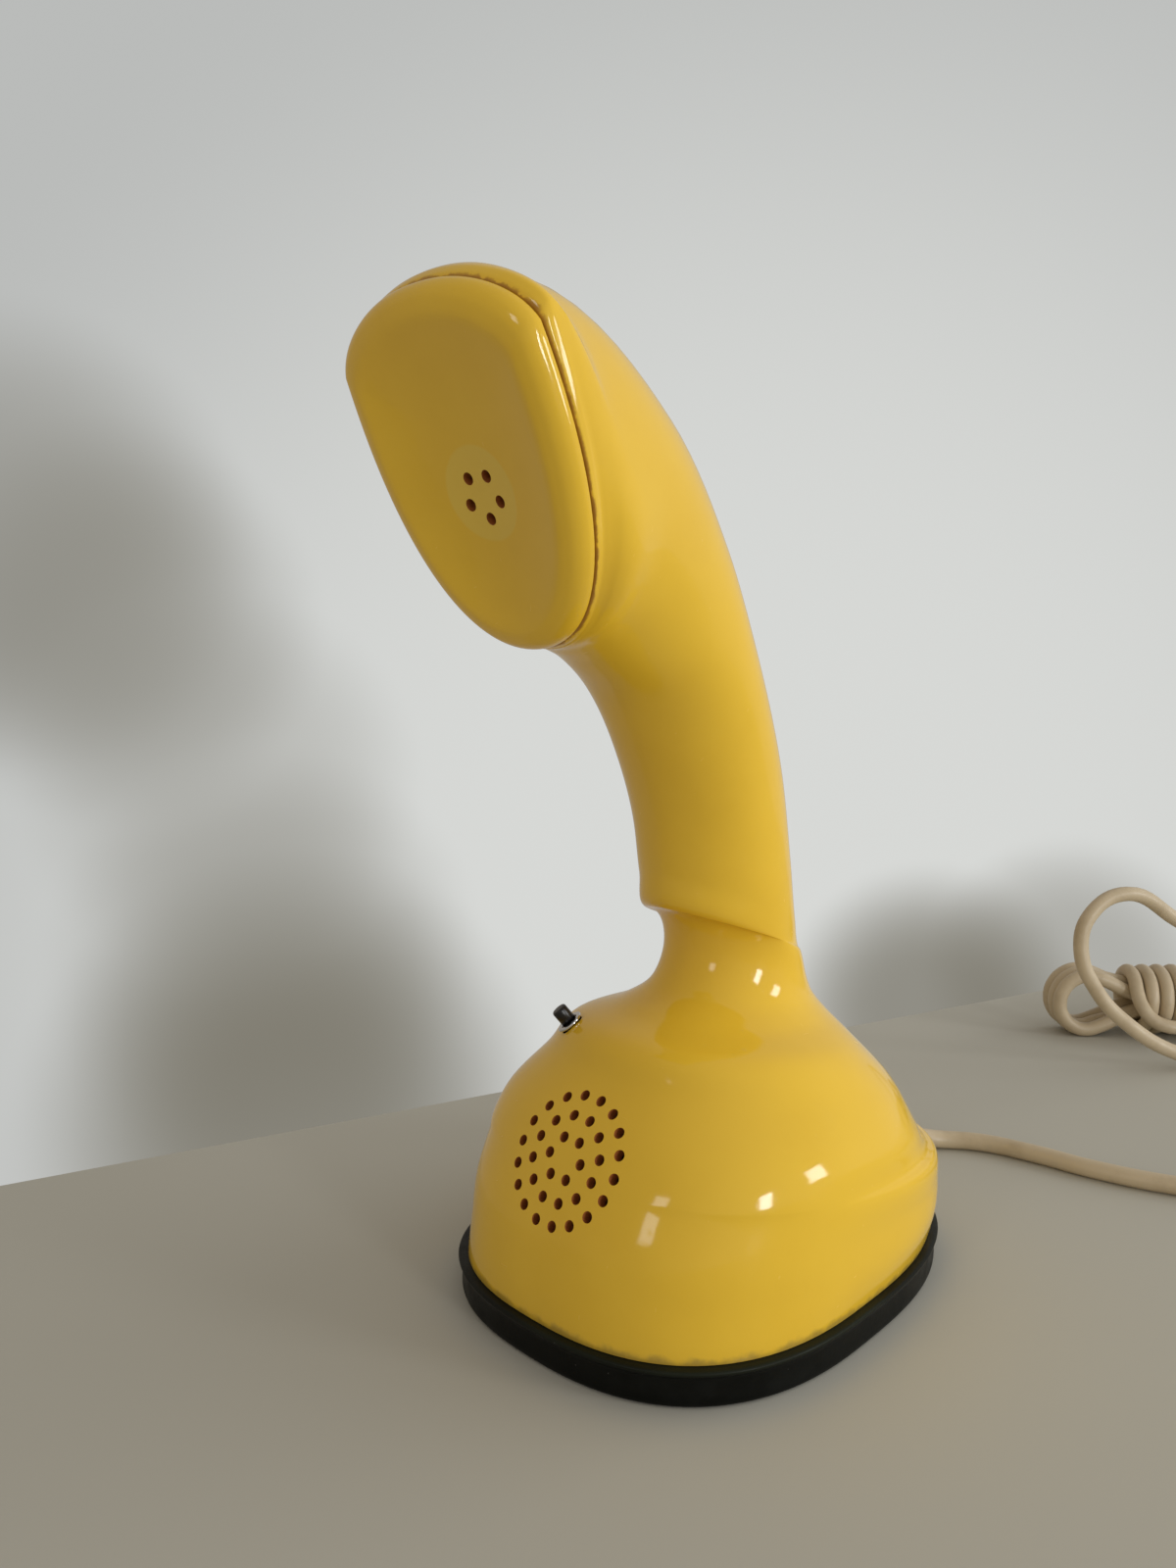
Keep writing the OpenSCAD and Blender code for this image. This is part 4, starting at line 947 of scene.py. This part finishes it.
# %% The finishes on their pieces
slot_of = {part["node"]: part["material_slot"] for part in frame["record"]["subparts"]}
for name, piece in nodes.items():
    piece.data.materials.clear()
    piece.data.materials.append(looks[slot_of[name]])
new_pieces = ((shell, "shell_yellow"), (cap, "shell_yellow"), (foot, "foot_rubber"), (cord, "cord_cream"),
              (nut, "bright_metal"), (push, "black_plastic"), (switch, "black_plastic"),
              (wheel, "dial_yellow"), (knob, "button_red"), (digits, "black_plastic"), (plug, "plug_cream"))
for piece, slot in new_pieces:
    if not piece.data.materials:
        piece.data.materials.append(None)
    # Clearing the list would forget which faces are hole walls, so its places are filled one by one.
    for number in range(len(piece.data.materials)):
        piece.data.materials[number] = (looks[slot], painted_hole_shade)[number]
print("finishes:", len(looks), "pieces with one:", len(nodes) + len(new_pieces))

# %% [markdown]
# The floor is a plain pale slab that ends behind the telephone, and past it is only the pale wall of the
# world, painted brighter behind the telephone and with the telephone's soft shadow painted on it to the
# left. Two windows on the right give the light and the bright reflections, a third and weaker one stands
# in front on the left, a large pale wall fills in from behind, and the world gives the rest. From below
# the floor is see-through, so that the dial can be looked at.

# %% Floor
floor_mesh = bpy.data.meshes.new("floor")
bm = bmesh.new()
HALF = .75
EDGE_AT, EDGE_TURN = place(-98.6, 137.15, 0), math.atan2(503.7, 155.2)
bmesh.ops.create_grid(bm, x_segments=1, y_segments=1, size=HALF)
bmesh.ops.translate(bm, verts=bm.verts, vec=(0, -HALF, 0))
bmesh.ops.rotate(bm, verts=bm.verts, matrix=Matrix.Rotation(EDGE_TURN, 3, "Z"))
bmesh.ops.translate(bm, verts=bm.verts, vec=EDGE_AT)
bm.to_mesh(floor_mesh)
bm.free()
floor = bpy.data.objects.new("floor", floor_mesh)
bpy.context.scene.collection.objects.link(floor)
floor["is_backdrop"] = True
floor_look, tree, shader = new_material("floor_plain", Base_Color=(.50, .487, .425, 1), Roughness=.7,
                                        Specular_IOR_Level=.12)
under = add(tree, "ShaderNodeNewGeometry", (-300, 300))
clear = add(tree, "ShaderNodeBsdfTransparent", (-100, -200))
seen_through = add(tree, "ShaderNodeMixShader", (300, 200))
wire(tree, (under.outputs["Backfacing"], seen_through.inputs[0]), (shader.outputs[0], seen_through.inputs[1]),
     (clear.outputs[0], seen_through.inputs[2]),
     (seen_through.outputs[0], tree.nodes["Material Output"].inputs["Surface"]))
floor_mesh.materials.append(floor_look)
print("floor:", 2 * HALF, "m square")

# %% World: a pale wall with painted light and a painted soft shadow for the eye, and an even room for the light
world = bpy.data.worlds.new("room")
world.use_nodes = True
tree = world.node_tree
heading = add(tree, "ShaderNodeTexCoord", (-1200, 0))


def toward(direction, start, end, at):
    """How near a heading is to this direction, from start to end of the cosine."""
    facing = add(tree, "ShaderNodeVectorMath", at, operation="DOT_PRODUCT",
                 second=Vector(direction).normalized())
    soft = add(tree, "ShaderNodeMapRange", (at[0] + 180, at[1]), interpolation_type="SMOOTHSTEP",
               From_Min=start, From_Max=end)
    wire(tree, (heading.outputs["Generated"], facing.inputs[0]),
         (facing.outputs["Value"], soft.inputs["Value"]))
    return soft.outputs["Result"]


# Painted shadow: dark spots on the wall where the telephone's shadow falls to the left, each given as
# (heading, cosine where it starts, strength); the wall under them is painted brighter behind the telephone.
SHADE = (.18, .165, .125, 1)
SHADES = [((-.937, .345, .065), .984, .5), ((-.914, .405, .005), .987, .4), ((-.876, .469, -.117), .987, .3),
          ((-.84, .482, -.25), .985, .4), ((-.80, .476, -.362), .978, .85), ((-.465, .834, -.296), .992, .8),
          ((-.382, .888, -.259), .9935, .5)]
wall_tone = tinted(tree, toward((-.6, .8, -.2), .72, 1, (-1000, 400)), (.49, .50, .49, 1),
                   (.68, .69, .67, 1), at=(-500, 400))
for number, (way, start, amount) in enumerate(SHADES):
    wall_tone = tinted(tree, toward(way, start, .9995, (-1000, 200 - 160 * number)), wall_tone, SHADE, amount,
                       (-350 + 90 * number, 400))
room_tone = tinted(tree, toward((.75, .65, .1), -.7, .9, (-1000, -900)), (.375, .33, .275, 1),
                   (.54, .54, .53, 1), at=(-500, -200))
sight = add(tree, "ShaderNodeLightPath", (-400, 200))
seen = tinted(tree, sight.outputs["Is Camera Ray"], room_tone, wall_tone, at=(-50, 100))
wire(tree, (seen, tree.nodes["Background"].inputs["Color"]))
bpy.context.scene.world = world
bpy.context.scene.view_settings.view_transform = "Standard"
print("shades on the wall:", len(SHADES))


# %% Lights
LIGHT_AWAY = 2.2


def area_light(name, heading, wide, tall, radiance):
    """A window: its brightness is set, and its power follows from its size."""
    data = bpy.data.lights.new(name, "AREA")
    data.shape = "RECTANGLE"
    data.size, data.size_y = wide, tall
    data.energy = radiance * math.pi * wide * tall
    light = bpy.data.objects.new(name, data)
    light.location = Vector((0, 0, .12)) + Vector(heading).normalized() * LIGHT_AWAY
    light.rotation_euler = Vector(heading).to_track_quat("Z", "Y").to_euler()
    bpy.context.scene.collection.objects.link(light)
    print(name, "power:", round(data.energy, 1))
    return light


area_light("window", (.88, .42, .2), .42, .62, 11)
area_light("side_window", (1, -.14, .12), .32, .62, 16)
area_light("far_window", (.15, -.95, .35), .35, .45, 4)
area_light("bright_wall", (.52, .85, .30), 1.6, 1.4, 1.8).visible_glossy = False

bpy.context.view_layer.update()
made_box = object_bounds()
for title, box in (("CAD box", cad_box), ("visual box", made_box)):
    print(title, [[round(x, 4) for x in corner] for corner in box])
